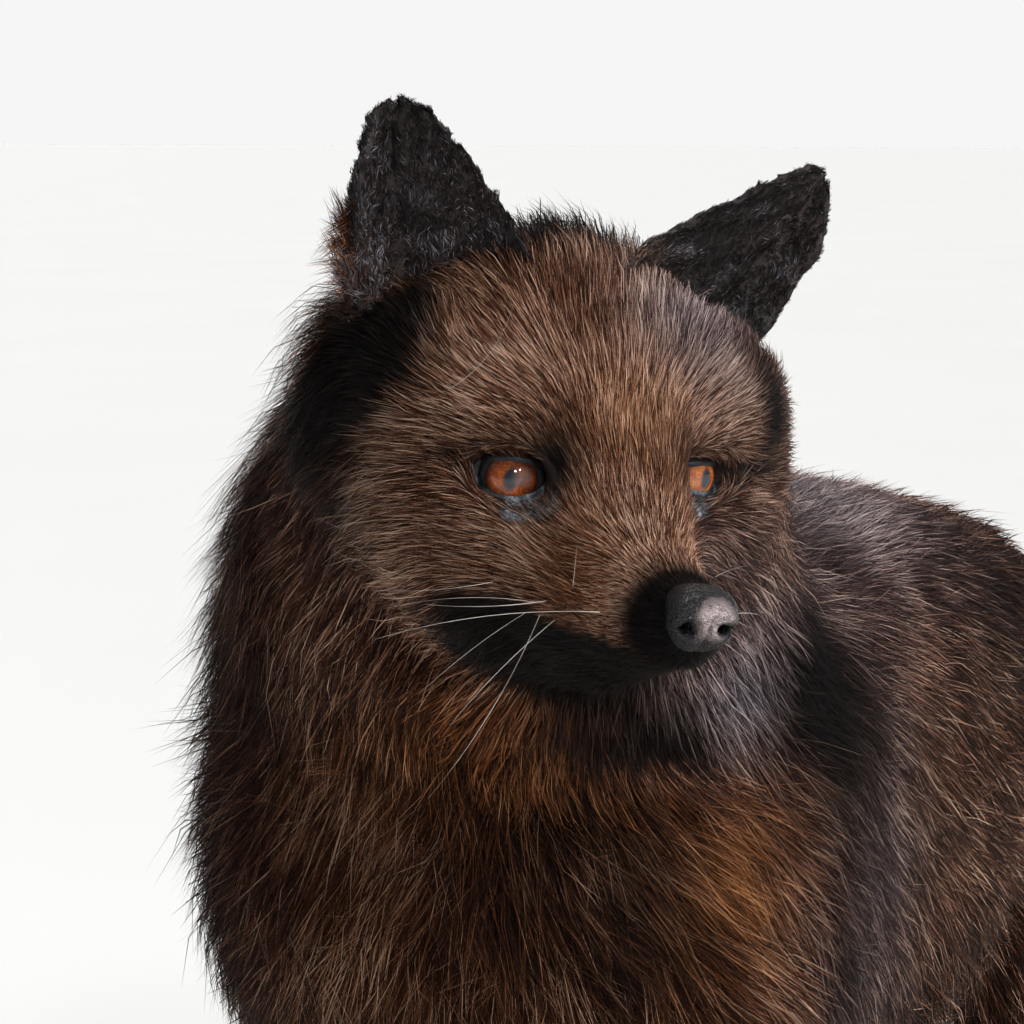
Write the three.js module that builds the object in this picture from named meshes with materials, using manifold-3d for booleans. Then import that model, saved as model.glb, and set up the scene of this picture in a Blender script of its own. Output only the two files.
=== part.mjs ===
// A mounted red fox of the dark colour phase, life size, standing on a plain wooden plank with its
// head turned to its left. Millimetres, +Z up. The origin is the centre of the plank's underside, and
// the fox faces -Y, so that +X is its left. The solids are the outline of the coat, not of the skin.
//
// The flesh is lofted as one body: trunk, neck, head, legs, tail and ears are tubes of oval sections
// that run into each other. Thin cuts then part it into the named pieces of the body.

import * as THREE from 'three';
import { LoftGeometry } from 'three/addons/geometries/LoftGeometry.js';
import { mergeVertices } from 'three/addons/utils/BufferGeometryUtils.js';
import Module from 'manifold-3d';

const wasm = await Module();
wasm.setup();

// ---- driving dimensions ----

const GAP = 0.3; // between neighbouring pieces

const PLANK = { length: 560, width: 240, thick: 22, corner: 14, bevel: 3 };
const GROUND = PLANK.thick + GAP; // the height of the soles

const EYE_HEIGHT = 434; // above the ground, as are all the heights of the body below
const EYES_LEFT = 90; // the head is carried this far to the left of the trunk's middle
const EYES_FORWARD = 310; // and this far in front of the origin
const HEAD_TURN = 48; // degrees to the fox's left
const HEAD_DROP = 2; // degrees, nose down
const HEAD_ROLL = 5.8; // degrees, left side down

const EYEBALL = 9.5; // radius
const EYE_ROOM = 0.4; // between an eyeball and its socket
const NOSE_ROOM = 0.4;
const EYE_APART = 23; // an eyeball's centre from the head's middle plane
const EYE_SET_BACK = 8.4; // its centre behind the front of the iris
const EYE_ASKEW = 2; // the head's left eye stands this much higher in the rolled head
const EYE_SPLAY = 25; // degrees that an eye looks outward

const MOUTH = { front: 64, corner: -14, height: -39.5, rise: 6 }; // rise in degrees, front to corner
const SHOULDER_APART = 50; // a foreleg's axis from the middle plane
const HIP_APART = 48;
const EAR_THICK = 5;
const EAR_SLOPE = 32; // degrees that the line across an ear's root falls outward
const FORE_HEEL = -134; // where the heels of the paws stand along the plank
const HIND_HEEL = 185;
const PAW = { long: 58, wide: 38, toe: 10, toeLong: 15 }; // toe and toeLong are a toe's radii
const TOE_STEP = 0.235; // between toes, as a share of a paw's width
const CLAW = { long: 13, thick: 2.1, droop: 20 };

// Where the flesh is parted. Heights are of the top of a paw and of a leg; the neck's cut slopes up
// to the rear.
const CUT = {
  paw: 30,
  foreleg: 166,
  hindleg: 168,
  tail: 214,
  headUnder: -70,
  headBehind: -80,
  ear: 8,
  neck: { y: -200, z: 352, slope: 38 },
};

// ---- materials ----

const coat = (color) => new THREE.MeshStandardMaterial({ color, roughness: 0.95, metalness: 0 });
const BROWN = 0x4a3426;
const RUST = 0x6b3a1c;
const BLACK = 0x1d1815;
const NOSE_GREY = 0x5b4a47;
const HORN = 0x3a322b;

// ---- solids ----

function solid(geometry) {
  const bare = new THREE.BufferGeometry();
  bare.setAttribute('position', geometry.getAttribute('position'));
  if (geometry.index) bare.setIndex(geometry.index);
  const merged = mergeVertices(bare, 1e-4);
  return new wasm.Manifold(new wasm.Mesh({
    numProp: 3,
    vertProperties: new Float32Array(merged.getAttribute('position').array),
    triVerts: new Uint32Array(merged.index.array),
  }));
}

function meshOf(name, body, material) {
  const { vertProperties, triVerts } = body.getMesh();
  const geometry = new THREE.BufferGeometry();
  geometry.setAttribute('position', new THREE.BufferAttribute(vertProperties, 3));
  geometry.setIndex(new THREE.BufferAttribute(triVerts, 1));
  geometry.computeVertexNormals();
  const mesh = new THREE.Mesh(geometry, material);
  mesh.name = name;
  return mesh;
}

function box(size, centre, matrix = new THREE.Matrix4()) {
  const geometry = new THREE.BoxGeometry(...size);
  geometry.translate(...centre);
  geometry.applyMatrix4(matrix);
  return solid(geometry);
}

// A tube of oval sections. Each station gives its centre (at), its half width along side, and its
// height over and under that width. The stations are joined by smooth curves. With square under 1
// the ovals fill out towards a rectangle.
function loft(
  stations,
  { side = [1, 0, 0], rows = 16, sides = 24, square = 1, matrix = new THREE.Matrix4() },
) {
  const spine = new THREE.CatmullRomCurve3(stations.map((s) => new THREE.Vector3(...s.at)));
  const girth = new THREE.CatmullRomCurve3(
    stations.map((s) => new THREE.Vector3(s.wide, s.over, s.under ?? s.over)),
  );
  const across = new THREE.Vector3(...side);
  const sections = [];
  for (let row = 0; row <= rows; row += 1) {
    const t = row / rows;
    const centre = spine.getPoint(t);
    const size = girth.getPoint(t);
    const along = spine.getTangent(t);
    const up = across.clone().cross(along).normalize();
    const ring = [];
    for (let k = 0; k < sides; k += 1) {
      const angle = (-2 * Math.PI * k) / sides;
      const lift = Math.sign(Math.sin(angle)) * Math.abs(Math.sin(angle)) ** square;
      const reach = Math.sign(Math.cos(angle)) * Math.abs(Math.cos(angle)) ** square;
      ring.push(centre.clone()
        .addScaledVector(across, reach * size.x)
        .addScaledVector(up, lift * (lift > 0 ? size.y : size.z)));
    }
    sections.push(ring);
  }
  const geometry = new LoftGeometry(sections, { capStart: true, capEnd: true });
  geometry.applyMatrix4(matrix);
  return solid(geometry);
}

function ellipsoid(radii, centre, { matrix = new THREE.Matrix4(), sides = 12 }) {
  const geometry = new THREE.SphereGeometry(1, sides, Math.ceil(sides * 0.6));
  geometry.scale(...radii);
  geometry.translate(...centre);
  geometry.applyMatrix4(matrix);
  return solid(geometry);
}

const joined = (bodies) => wasm.Manifold.union(bodies);
const largest = (body) => body.decompose().sort((a, b) => b.volume() - a.volume())[0];

// Parts a body at the walls of a box: what lies inside it, and the rest, with a gap between them.
function parted(body, size, centre, matrix) {
  const grown = size.map((s) => s + 2 * GAP);
  return [
    largest(body.intersect(box(size, centre, matrix))),
    largest(body.subtract(box(grown, centre, matrix))),
  ];
}

// ---- the head's own axes: x to the nose, y to the fox's left, z up, from midway between the eyes ----

const radians = THREE.MathUtils.degToRad;
const HEAD = new THREE.Matrix4().makeTranslation(EYES_LEFT, -EYES_FORWARD, EYE_HEIGHT)
  .multiply(new THREE.Matrix4().makeRotationZ(radians(HEAD_TURN - 90)))
  .multiply(new THREE.Matrix4().makeRotationY(radians(HEAD_DROP)))
  .multiply(new THREE.Matrix4().makeRotationX(radians(-HEAD_ROLL)));
const LEFT = [0, 1, 0];

// ---- flesh ----

function trunk() {
  return loft([
    { at: [0, -270, 282], wide: 28, over: 36, under: 32 },
    { at: [0, -254, 284], wide: 84, over: 84, under: 74 },
    { at: [0, -215, 286], wide: 111, over: 108, under: 96 },
    { at: [0, -160, 286], wide: 116, over: 120, under: 106 },
    { at: [0, -90, 288], wide: 106, over: 124, under: 114 },
    { at: [0, -10, 288], wide: 98, over: 118, under: 117 },
    { at: [0, 70, 288], wide: 90, over: 103, under: 106 },
    { at: [0, 130, 288], wide: 85, over: 91, under: 90 },
    { at: [0, 180, 286], wide: 71, over: 79, under: 73 },
    { at: [0, 210, 284], wide: 44, over: 56, under: 54 },
    { at: [0, 225, 282], wide: 14, over: 22, under: 22 },
  ], { rows: 14, sides: 20, square: 0.74 });
}

function neck() {
  return loft([
    { at: [56, -276, 488], wide: 36, over: 26, under: 24 },
    { at: [48, -270, 470], wide: 74, over: 46, under: 44 },
    { at: [34, -260, 440], wide: 94, over: 60, under: 60 },
    { at: [18, -240, 408], wide: 98, over: 74, under: 72 },
    { at: [4, -214, 372], wide: 105, over: 88, under: 76 },
    { at: [-2, -186, 336], wide: 113, over: 92, under: 82 },
    { at: [0, -150, 306], wide: 90, over: 76, under: 70 },
    { at: [0, -130, 290], wide: 40, over: 36, under: 40 },
  ], { rows: 9, sides: 18 });
}

function skull() {
  return loft([
    { at: [72, 0, -28], wide: 6, over: 5, under: 8 },
    { at: [68, 0, -28], wide: 12, over: 11, under: 14 },
    { at: [58, 0, -28], wide: 15.5, over: 14, under: 18 },
    { at: [44, 0, -28], wide: 18, over: 17, under: 25 },
    { at: [28, 0, -26], wide: 22, over: 24, under: 36 },
    { at: [12, 0, -22], wide: 26, over: 32, under: 48 },
    { at: [0, 0, -18], wide: 35, over: 40, under: 52 },
    { at: [-16, 0, -15], wide: 50, over: 54, under: 55 },
    { at: [-34, 0, -12], wide: 63, over: 71, under: 56 },
    { at: [-54, 0, -7], wide: 69, over: 76, under: 56 },
    { at: [-76, 0, -4], wide: 72, over: 70, under: 58 },
    { at: [-94, 0, -4], wide: 56, over: 52, under: 48 },
    { at: [-104, 0, -4], wide: 18, over: 20, under: 20 },
  ], { side: LEFT, rows: 18, sides: 22, matrix: HEAD });
}

// An ear stands on the head at its root and leans to its tip, which is worn blunt.
const EARS = {
  left: { root: [-44, 42, 40], tip: [-50, 78, 87], facing: 34, lean: -1 },
  right: { root: [-44, -38, 43], tip: [-50, -53, 95], facing: -34, lean: 1 },
};

// The ear's own axes: z from root to tip, x the way its cup faces.
function earMatrix({ root, tip, facing }) {
  const foot = new THREE.Vector3(...root);
  const up = new THREE.Vector3(...tip).sub(foot).normalize();
  const out = new THREE.Vector3(Math.cos(radians(facing)), Math.sin(radians(facing)), 0);
  const across = up.clone().cross(out).normalize();
  out.copy(across).cross(up);
  return HEAD.clone().multiply(new THREE.Matrix4().makeBasis(out, across, up).setPosition(foot));
}

function ear(where) {
  const height = new THREE.Vector3(...where.root).distanceTo(new THREE.Vector3(...where.tip));
  const shape = (scale, shift, inset) => [
    { at: [shift, 0, -12], wide: 29 - inset, over: 17 * scale, under: 13 },
    { at: [shift, 0, height * 0.25], wide: 27 - inset, over: 15 * scale, under: 11 },
    { at: [shift, 0, height * 0.6], wide: 20 - inset, over: 12 * scale, under: 9 },
    { at: [shift, 0, height * 0.88], wide: 13.5 - inset, over: 8 * scale, under: 6 },
    { at: [shift, 0, height * 1.03], wide: 6.5 - inset * 0.4, over: 4 * scale, under: 3 },
  ];
  const matrix = earMatrix(where);
  const shell = loft(shape(1, 0, 0), { side: LEFT, rows: 7, sides: 14, matrix });
  const cup = loft(shape(1.6, EAR_THICK * 1.6, EAR_THICK), { side: LEFT, rows: 5, sides: 10, matrix });
  const opening = box([90, 90, 90], [0, 0, 45 + height * 0.2], matrix);
  return shell.subtract(cup.intersect(opening));
}

function foreleg(x) {
  return loft([
    { at: [x * 0.85, -168, 290], wide: 28, over: 40, under: 40 },
    { at: [x * 1.08, -154, 242], wide: 43, over: 50, under: 46 },
    { at: [x * 1.04, -130, 192], wide: 27, over: 34, under: 31 },
    { at: [x * 1.02, -134, 140], wide: 19, over: 21, under: 20 },
    { at: [x, -142, 84], wide: 15.5, over: 17, under: 16 },
    { at: [x, -148, 46], wide: 15, over: 16, under: 16 },
    { at: [x, -154, 18], wide: 15, over: 15, under: 15 },
    { at: [x, -156, 8], wide: 10, over: 9, under: 9 },
  ], { rows: 10, sides: 11 });
}

function hindleg(x) {
  return loft([
    { at: [x * 0.7, 154, 316], wide: 28, over: 36, under: 40 },
    { at: [x * 0.95, 146, 268], wide: 41, over: 60, under: 62 },
    { at: [x * 1.1, 126, 212], wide: 34, over: 46, under: 44 },
    { at: [x * 1.08, 150, 158], wide: 22, over: 28, under: 27 },
    { at: [x, 188, 116], wide: 15.5, over: 19, under: 19 },
    { at: [x, 181, 78], wide: 14.5, over: 15, under: 16 },
    { at: [x, 171, 40], wide: 15, over: 15, under: 16 },
    { at: [x, 165, 16], wide: 14, over: 14, under: 14 },
    { at: [x, 163, 8], wide: 9, over: 8, under: 8 },
  ], { rows: 12, sides: 11 });
}

function tail() {
  return loft([
    { at: [0, 168, 312], wide: 22, over: 22 },
    { at: [0, 210, 310], wide: 30, over: 28 },
    { at: [0, 252, 290], wide: 37, over: 35 },
    { at: [0, 288, 248], wide: 45, over: 43 },
    { at: [0, 318, 200], wide: 53, over: 52 },
    { at: [0, 362, 156], wide: 58, over: 57 },
    { at: [0, 418, 131], wide: 57, over: 56 },
    { at: [0, 474, 122], wide: 46, over: 45 },
    { at: [0, 518, 120], wide: 28, over: 27 },
    { at: [0, 544, 120], wide: 7, over: 7 },
  ], { rows: 11, sides: 12 });
}

// A paw is a pad with four toes side by side, the middle two ahead of the others.
const TOES = [-1.5, -0.5, 0.5, 1.5];
const toeReach = (toe) => (Math.abs(toe) < 1 ? 0 : 9);

function paw(x, heelY) {
  const front = heelY - PAW.long;
  const toes = TOES.map((toe) => ellipsoid(
    [PAW.wide * 0.155, PAW.toeLong, PAW.toe],
    [x + toe * PAW.wide * TOE_STEP, front + PAW.toeLong + toeReach(toe), PAW.toe],
    { sides: 6 },
  ));
  const pad = loft([
    { at: [x, heelY, 13], wide: 8, over: 9, under: 9 },
    { at: [x, heelY - 8, 14], wide: 15, over: 13, under: 13 },
    { at: [x, heelY - 24, 13], wide: 18, over: 13, under: 13 },
    { at: [x, heelY - 38, 11], wide: 17.5, over: 10.5, under: 11 },
    { at: [x, heelY - 46, 10], wide: 12, over: 7, under: 8 },
  ], { rows: 4, sides: 8 });
  const underGround = box([PAW.long * 2, PAW.long * 3, 20], [x, heelY, -10]);
  return joined([pad, ...toes]).subtract(underGround);
}

const LEGS = [['left', 1], ['right', -1]].flatMap(([side, sign]) => [
  {
    name: `foreleg_${side}`,
    paw: `forepaw_${side}`,
    x: sign * SHOULDER_APART,
    heel: FORE_HEEL,
    top: CUT.foreleg,
    make: foreleg,
  },
  {
    name: `hindleg_${side}`,
    paw: `hindpaw_${side}`,
    x: sign * HIP_APART,
    heel: HIND_HEEL,
    top: CUT.hindleg,
    make: hindleg,
  },
]);

// ---- small hard pieces ----

function eyeCentre(side) {
  return [-EYE_SET_BACK, side * EYE_APART, (side * EYE_ASKEW) - 0.5];
}

function eyeball(side, radius = EYEBALL) {
  return ellipsoid([radius, radius, radius], eyeCentre(side), { matrix: HEAD, sides: 12 });
}

// The opening between the lids: a short cone of ovals that widens outward along the eye's gaze.
function lidOpening(side) {
  const gaze = new THREE.Matrix4().makeTranslation(...eyeCentre(side))
    .multiply(new THREE.Matrix4().makeRotationZ(radians(side * EYE_SPLAY)));
  return loft([
    { at: [4, 0, 0], wide: 8.2, over: 6.6, under: 6.6 },
    { at: [12, 0, 0], wide: 9.6, over: 8, under: 8 },
    { at: [34, 0, 0], wide: 14, over: 13, under: 12 },
  ], { side: LEFT, rows: 3, sides: 14, matrix: HEAD.clone().multiply(gaze) });
}

// With room, the socket that the nose sits in.
function nosePad(room = 0) {
  const stations = [
    { at: [62 - room, 0, -26], wide: 7, over: 5.5, under: 7 },
    { at: [68, 0, -26], wide: 9.4, over: 8, under: 9.5 },
    { at: [74, 0, -26.5], wide: 9.4, over: 7.5, under: 9 },
    { at: [77.5, 0, -27], wide: 6.5, over: 4.5, under: 5.5 },
  ];
  const grown = stations.map((s) => (
    { at: s.at, wide: s.wide + room, over: s.over + room, under: s.under + room }
  ));
  return loft(grown, { side: LEFT, rows: 6, sides: 12, matrix: HEAD });
}

function claw(x, heelY, toe, room = 0) {
  const front = heelY - PAW.long + toeReach(toe);
  const geometry = new THREE.ConeGeometry(CLAW.thick + room, CLAW.long + room * 3, 5);
  geometry.rotateX(Math.PI + radians(CLAW.droop));
  geometry.translate(x + toe * PAW.wide * TOE_STEP, front - CLAW.long * 0.2, PAW.toe * 0.9);
  return solid(geometry);
}

// ---- the plank ----

function plank() {
  const { length, width, thick, corner, bevel } = PLANK;
  const w = width / 2 - bevel;
  const l = length / 2 - bevel;
  const outline = new THREE.Shape();
  outline.moveTo(-w + corner, -l);
  outline.lineTo(w - corner, -l);
  outline.absarc(w - corner, -l + corner, corner, -Math.PI / 2, 0);
  outline.lineTo(w, l - corner);
  outline.absarc(w - corner, l - corner, corner, 0, Math.PI / 2);
  outline.lineTo(-w + corner, l);
  outline.absarc(-w + corner, l - corner, corner, Math.PI / 2, Math.PI);
  outline.lineTo(-w, -l + corner);
  outline.absarc(-w + corner, -l + corner, corner, Math.PI, Math.PI * 1.5);
  const geometry = new THREE.ExtrudeGeometry(outline, {
    depth: thick - 2 * bevel,
    bevelThickness: bevel,
    bevelSize: bevel,
    bevelSegments: 1,
    curveSegments: 4,
  });
  geometry.translate(0, 0, bevel);
  return solid(geometry);
}

// ---- assembly ----

const fox = new THREE.Group();
fox.position.z = GROUND;
const add = (name, body, color) => fox.add(meshOf(name, body, coat(color)));

let flesh = joined([
  trunk(),
  neck(),
  skull(),
  tail(),
  ear(EARS.left),
  ear(EARS.right),
  ...LEGS.map((leg) => leg.make(leg.x)),
  ...LEGS.map((leg) => paw(leg.x, leg.heel)),
]);

// A claw's root sits in its toe.
for (const leg of LEGS) {
  TOES.forEach((toe, i) => {
    add(`claw_${leg.paw}_${i + 1}`, claw(leg.x, leg.heel, toe), HORN);
    flesh = flesh.subtract(claw(leg.x, leg.heel, toe, GAP));
  });
}

// Eyes and nose sit in sockets.
for (const [name, side] of [['left', 1], ['right', -1]]) {
  flesh = flesh.subtract(eyeball(side, EYEBALL + EYE_ROOM)).subtract(lidOpening(side));
  fox.add(meshOf(`eye_${name}`, eyeball(side), new THREE.MeshStandardMaterial({
    color: 0xb3641c,
    roughness: 0.08,
    metalness: 0,
  })));
}
flesh = flesh.subtract(nosePad(NOSE_ROOM));
add('nose', nosePad(), NOSE_GREY);

// Ears, jaw and head come off the front, then legs, tail and neck off the trunk. Each cut's box is
// wide enough to take all that lies past its cutting faces.
for (const [name, where] of Object.entries(EARS)) {
  const rootLine = HEAD.clone()
    .multiply(new THREE.Matrix4().makeTranslation(...where.root))
    .multiply(new THREE.Matrix4().makeRotationX(radians(where.lean * EAR_SLOPE)));
  const [piece, rest] = parted(flesh, [90, 74, 120], [5, 0, 60 + CUT.ear], rootLine);
  add(`ear_${name}`, piece, BLACK);
  flesh = rest;
}

const mouthLine = HEAD.clone()
  .multiply(new THREE.Matrix4().makeTranslation(MOUTH.front, 0, MOUTH.height))
  .multiply(new THREE.Matrix4().makeRotationY(radians(MOUTH.rise)));
const mouthLong = MOUTH.front - MOUTH.corner;
const [jaw, aboveJaw] = parted(flesh, [mouthLong + 30, 90, 60], [15 - mouthLong / 2, 0, -30], mouthLine);
add('lower_jaw', jaw, BLACK);

const headBox = [220, 200, 260];
const headCentre = [headBox[0] / 2 + CUT.headBehind, 0, headBox[2] / 2 + CUT.headUnder];
const [head, belowHead] = parted(aboveJaw, headBox, headCentre, HEAD);
add('head', head, BROWN);

let body = belowHead;
for (const leg of LEGS) {
  const pawMiddle = leg.heel - PAW.long / 2;
  const [foot, aboveFoot] = parted(body, [80, 120, CUT.paw], [leg.x, pawMiddle, CUT.paw / 2]);
  add(leg.paw, foot, BLACK);
  const [limb, rest] = parted(aboveFoot, [96, 200, leg.top], [leg.x, leg.heel - 10, leg.top / 2]);
  add(leg.name, limb, BLACK);
  body = rest;
}
const [brush, withoutTail] = parted(body, [200, 400, 500], [0, CUT.tail + 200, 250]);
add('tail', brush, BROWN);

const collar = new THREE.Matrix4().makeTranslation(0, CUT.neck.y, CUT.neck.z)
  .multiply(new THREE.Matrix4().makeRotationX(radians(CUT.neck.slope)));
const [throat, barrel] = parted(withoutTail, [300, 300, 200], [0, 0, 100], collar);
add('neck', throat, RUST);
add('trunk', barrel, BROWN);

const wood = new THREE.MeshStandardMaterial({ color: 0x5a3b22, roughness: 0.55, metalness: 0 });
const model = new THREE.Group();
model.add(fox, meshOf('stand_plank', plank(), wood));

export default model;
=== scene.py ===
# %% [markdown]
# # A mounted fox on a plank
# A mounted fox is a tanned skin drawn over a carved body, with glass eyes set in clay and the coat
# brushed back into place. The scene is built in nearly that order: the skin first, then eyes, lids,
# nose and ears, then the coat, combed tuft by tuft over the skin, and last whiskers, claws, the
# plank and the light.

# %% Load the solids, with their places moved into their meshes
import math
import bmesh
import bpy
import numpy as np
from mathutils import Matrix, Vector
from mathutils.bvhtree import BVHTree
from mathutils.kdtree import KDTree


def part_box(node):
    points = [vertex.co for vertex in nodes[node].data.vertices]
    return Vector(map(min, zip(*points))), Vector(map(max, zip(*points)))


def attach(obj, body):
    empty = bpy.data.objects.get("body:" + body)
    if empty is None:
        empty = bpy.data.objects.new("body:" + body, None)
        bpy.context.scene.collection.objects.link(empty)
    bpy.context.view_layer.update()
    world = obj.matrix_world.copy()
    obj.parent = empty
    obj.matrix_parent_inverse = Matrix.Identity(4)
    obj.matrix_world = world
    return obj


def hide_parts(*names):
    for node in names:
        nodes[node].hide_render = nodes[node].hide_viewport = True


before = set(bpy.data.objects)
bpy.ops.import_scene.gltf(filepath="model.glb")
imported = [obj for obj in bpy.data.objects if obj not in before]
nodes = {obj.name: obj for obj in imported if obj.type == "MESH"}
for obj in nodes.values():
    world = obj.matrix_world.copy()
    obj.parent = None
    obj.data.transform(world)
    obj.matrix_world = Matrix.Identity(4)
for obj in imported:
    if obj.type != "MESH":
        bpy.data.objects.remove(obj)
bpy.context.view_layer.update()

MM = 0.001

# %% [markdown]
# ## The head's own axes
# The head is turned to the fox's left and tipped a little, so everything on it is easier to place
# from its own axes: x runs to the nose, y to the fox's left and z up, in millimetres from the point
# midway between the eyes. One matrix turns such a place into one in the scene, so no number below
# has to carry the head's turn.

# %% Head axes
HEAD_AXES = (
    Matrix.Translation((90.0, -310.0, 456.3))
    @ Matrix.Rotation(math.radians(-42.0), 4, "Z")
    @ Matrix.Rotation(math.radians(2.0), 4, "Y")
    @ Matrix.Rotation(math.radians(-5.8), 4, "X")
)
HEAD = np.array(HEAD_AXES)


def from_head(places):
    """Places on the head, as places in the scene, in mm."""
    return np.asarray(places, float) @ HEAD[:3, :3].T + HEAD[:3, 3]


def to_head(points):
    return (np.asarray(points, float) - HEAD[:3, 3]) @ HEAD[:3, :3]


def turned_with_head(directions):
    return np.asarray(directions, float) @ HEAD[:3, :3].T


def unit(vectors):
    length = np.linalg.norm(vectors, axis=-1, keepdims=True)
    return vectors / np.maximum(length, 1e-9)


def smooth_step(low, high, values):
    t = np.clip((values - low) / (high - low), 0.0, 1.0)
    return t * t * (3.0 - 2.0 * t)


print("head axes ready, nose tip at", from_head([[78, 0, -27]]).round(1))

# %% [markdown]
# ## Small helpers
# Every piece below is a mesh that ends as an object with no turn or scale of its own, so that its
# pattern stays put. These helpers make such objects, hide the solids each one stands for, and read
# a mesh's points as arrays, which is far quicker than a loop.

# %% Helpers for pieces and meshes
def new_object(name, mesh, *materials):
    obj = bpy.data.objects.new(name, mesh)
    bpy.context.scene.collection.objects.link(obj)
    for material in materials:
        mesh.materials.append(material)
    return obj


def finish_piece(obj, slot, *stands_for):
    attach(obj, "root")
    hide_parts(*stands_for)
    return obj


def object_from_bmesh(name, bm, *materials, smooth=True):
    mesh = bpy.data.meshes.new(name)
    bm.to_mesh(mesh)
    bm.free()
    if smooth:
        mesh.shade_smooth()
    return new_object(name, mesh, *materials)


def in_threes(items, field, kind=float):
    """One field of all the items, as an array with a row of three for each."""
    flat = np.empty(len(items) * 3, kind)
    items.foreach_get(field, flat)
    return flat.reshape(-1, 3)


def mesh_points(mesh):
    """The mesh's vertices, in mm."""
    return in_threes(mesh.vertices, "co") / MM


def mesh_normals(mesh):
    return in_threes(mesh.vertex_normals, "vector")


def mesh_triangles(mesh):
    mesh.calc_loop_triangles()
    return in_threes(mesh.loop_triangles, "vertices", np.int32)


def set_points(mesh, points):
    """Moves the mesh's vertices to the points, given in mm."""
    mesh.vertices.foreach_set("co", (points * MM).ravel())
    mesh.update()


def with_modifier(obj, kind, **settings):
    """Adds one modifier to the object and makes its result the mesh."""
    modifier = obj.modifiers.new(kind.title(), kind)
    for name, value in settings.items():
        setattr(modifier, name, value)
    bpy.context.view_layer.update()
    depsgraph = bpy.context.evaluated_depsgraph_get()
    mesh = bpy.data.meshes.new_from_object(obj.evaluated_get(depsgraph))
    obj.modifiers.clear()
    old = obj.data
    obj.data = mesh
    bpy.data.meshes.remove(old)
    return mesh


# %% [markdown]
# ## How one spot shades into the next
# A coat changes slowly over a body: short on the nose, long on the throat. Painting that by hand is
# slow, and one rule for the whole body is too stiff. So a few spots each hold a value and a reach,
# and every point on the body takes a mean of the spots near it.

# %% Values blended between spots
def mirrored(values, across):
    return tuple(-value if axis == across else value for axis, value in enumerate(values))


def both_sides(rows, directions=False):
    """The rows, and the mirror images of those off the head's middle line."""
    out = list(rows)
    for place, reach, values in rows:
        if place[1]:
            out.append((mirrored(place, 1), reach, mirrored(values, 1) if directions else values))
    return out


def left_and_right(rows, directions=False):
    """Each of the body's rows, followed by its mirror image."""
    out = []
    for place, reach, values in rows:
        out.append((place, reach, values))
        out.append((mirrored(place, 0), reach, mirrored(values, 0) if directions else values))
    return out


def blended(points, rows):
    """The mean of the rows' values at each point. A row is a place, a reach and its values."""
    total = np.full(len(points), 1e-30)
    out = np.zeros((len(points), len(rows[0][2])))
    for place, reach, values in rows:
        away = ((points - np.asarray(place)) ** 2).sum(1)
        weight = np.exp(-np.minimum(away / (2.0 * reach * reach), 60.0))
        total += weight
        out += weight[:, None] * np.asarray(values, float)
    return out / total[:, None]


half_way = blended(np.array([[5.0, 0.0, 0.0]]), [((0, 0, 0), 4, (2.0,)), ((10, 0, 0), 4, (4.0,))])
print("half way between 2 and 4:", half_way[0, 0].round(2))

# %% [markdown]
# ## How long and how thick the coat is
# A winter fox wears short hair on the face and legs, a ruff on the cheeks and throat, and its
# longest hair on the tail. The values for each spot are the hair's length, how far it stands up
# (degrees), its width, how many grow on a square millimetre, how deep the skin lies under the
# coat's surface, and how strongly the hairs gather into locks.

# %% Coat values over the body
HEAD_COAT = both_sides([
    ((70, 0, -17), 7, (2.2, 20, 0.18, 7.0, 1.5, 0.1)),
    ((55, 0, -12), 10, (4.0, 18, 0.18, 6.5, 2.0, 0.2)),
    ((35, 0, -6), 12, (6.5, 18, 0.19, 5.8, 2.5, 0.3)),
    ((12, 0, 10), 12, (9.0, 20, 0.2, 5.0, 4.0, 0.4)),
    ((-10, 0, 38), 14, (13.0, 22, 0.21, 4.2, 6.0, 0.45)),
    ((-35, 0, 62), 14, (17.0, 46, 0.3, 2.0, 9.0, 0.5)),
    ((-85, 0, 50), 26, (26.0, 20, 0.45, 0.8, 12.0, 0.5)),
    ((50, 14, -26), 10, (4.0, 16, 0.18, 6.5, 2.0, 0.2)),
    ((28, 20, -28), 12, (7.0, 17, 0.19, 5.6, 3.0, 0.3)),
    ((4, 30, -22), 12, (8.0, 17, 0.2, 5.2, 3.2, 0.35)),
    ((-4, 28, 2), 10, (4.0, 14, 0.18, 6.5, 2.2, 0.2)),
    ((9, 19, -4), 6, (2.4, 12, 0.16, 7.0, 1.8, 0.15)),
    ((-14, 26, 20), 9, (9.0, 18, 0.2, 5.2, 3.6, 0.35)),
    ((-32, 48, 22), 14, (11.0, 20, 0.24, 3.4, 7.0, 0.4)),
    ((-24, 50, -18), 14, (14.0, 19, 0.23, 3.3, 6.0, 0.4)),
    ((-56, 64, -24), 20, (26.0, 26, 0.34, 1.4, 13.0, 0.5)),
    ((-68, 58, 44), 13, (26.0, 46, 0.3, 1.8, 8.0, 0.5)),
    ((50, 8, -48), 10, (4.0, 15, 0.22, 4.6, 3.5, 0.2)),
    ((15, 18, -62), 14, (8.0, 17, 0.3, 2.3, 5.0, 0.3)),
    ((-20, 28, -66), 16, (20.0, 18, 0.38, 1.4, 11.0, 0.45)),
])
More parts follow.
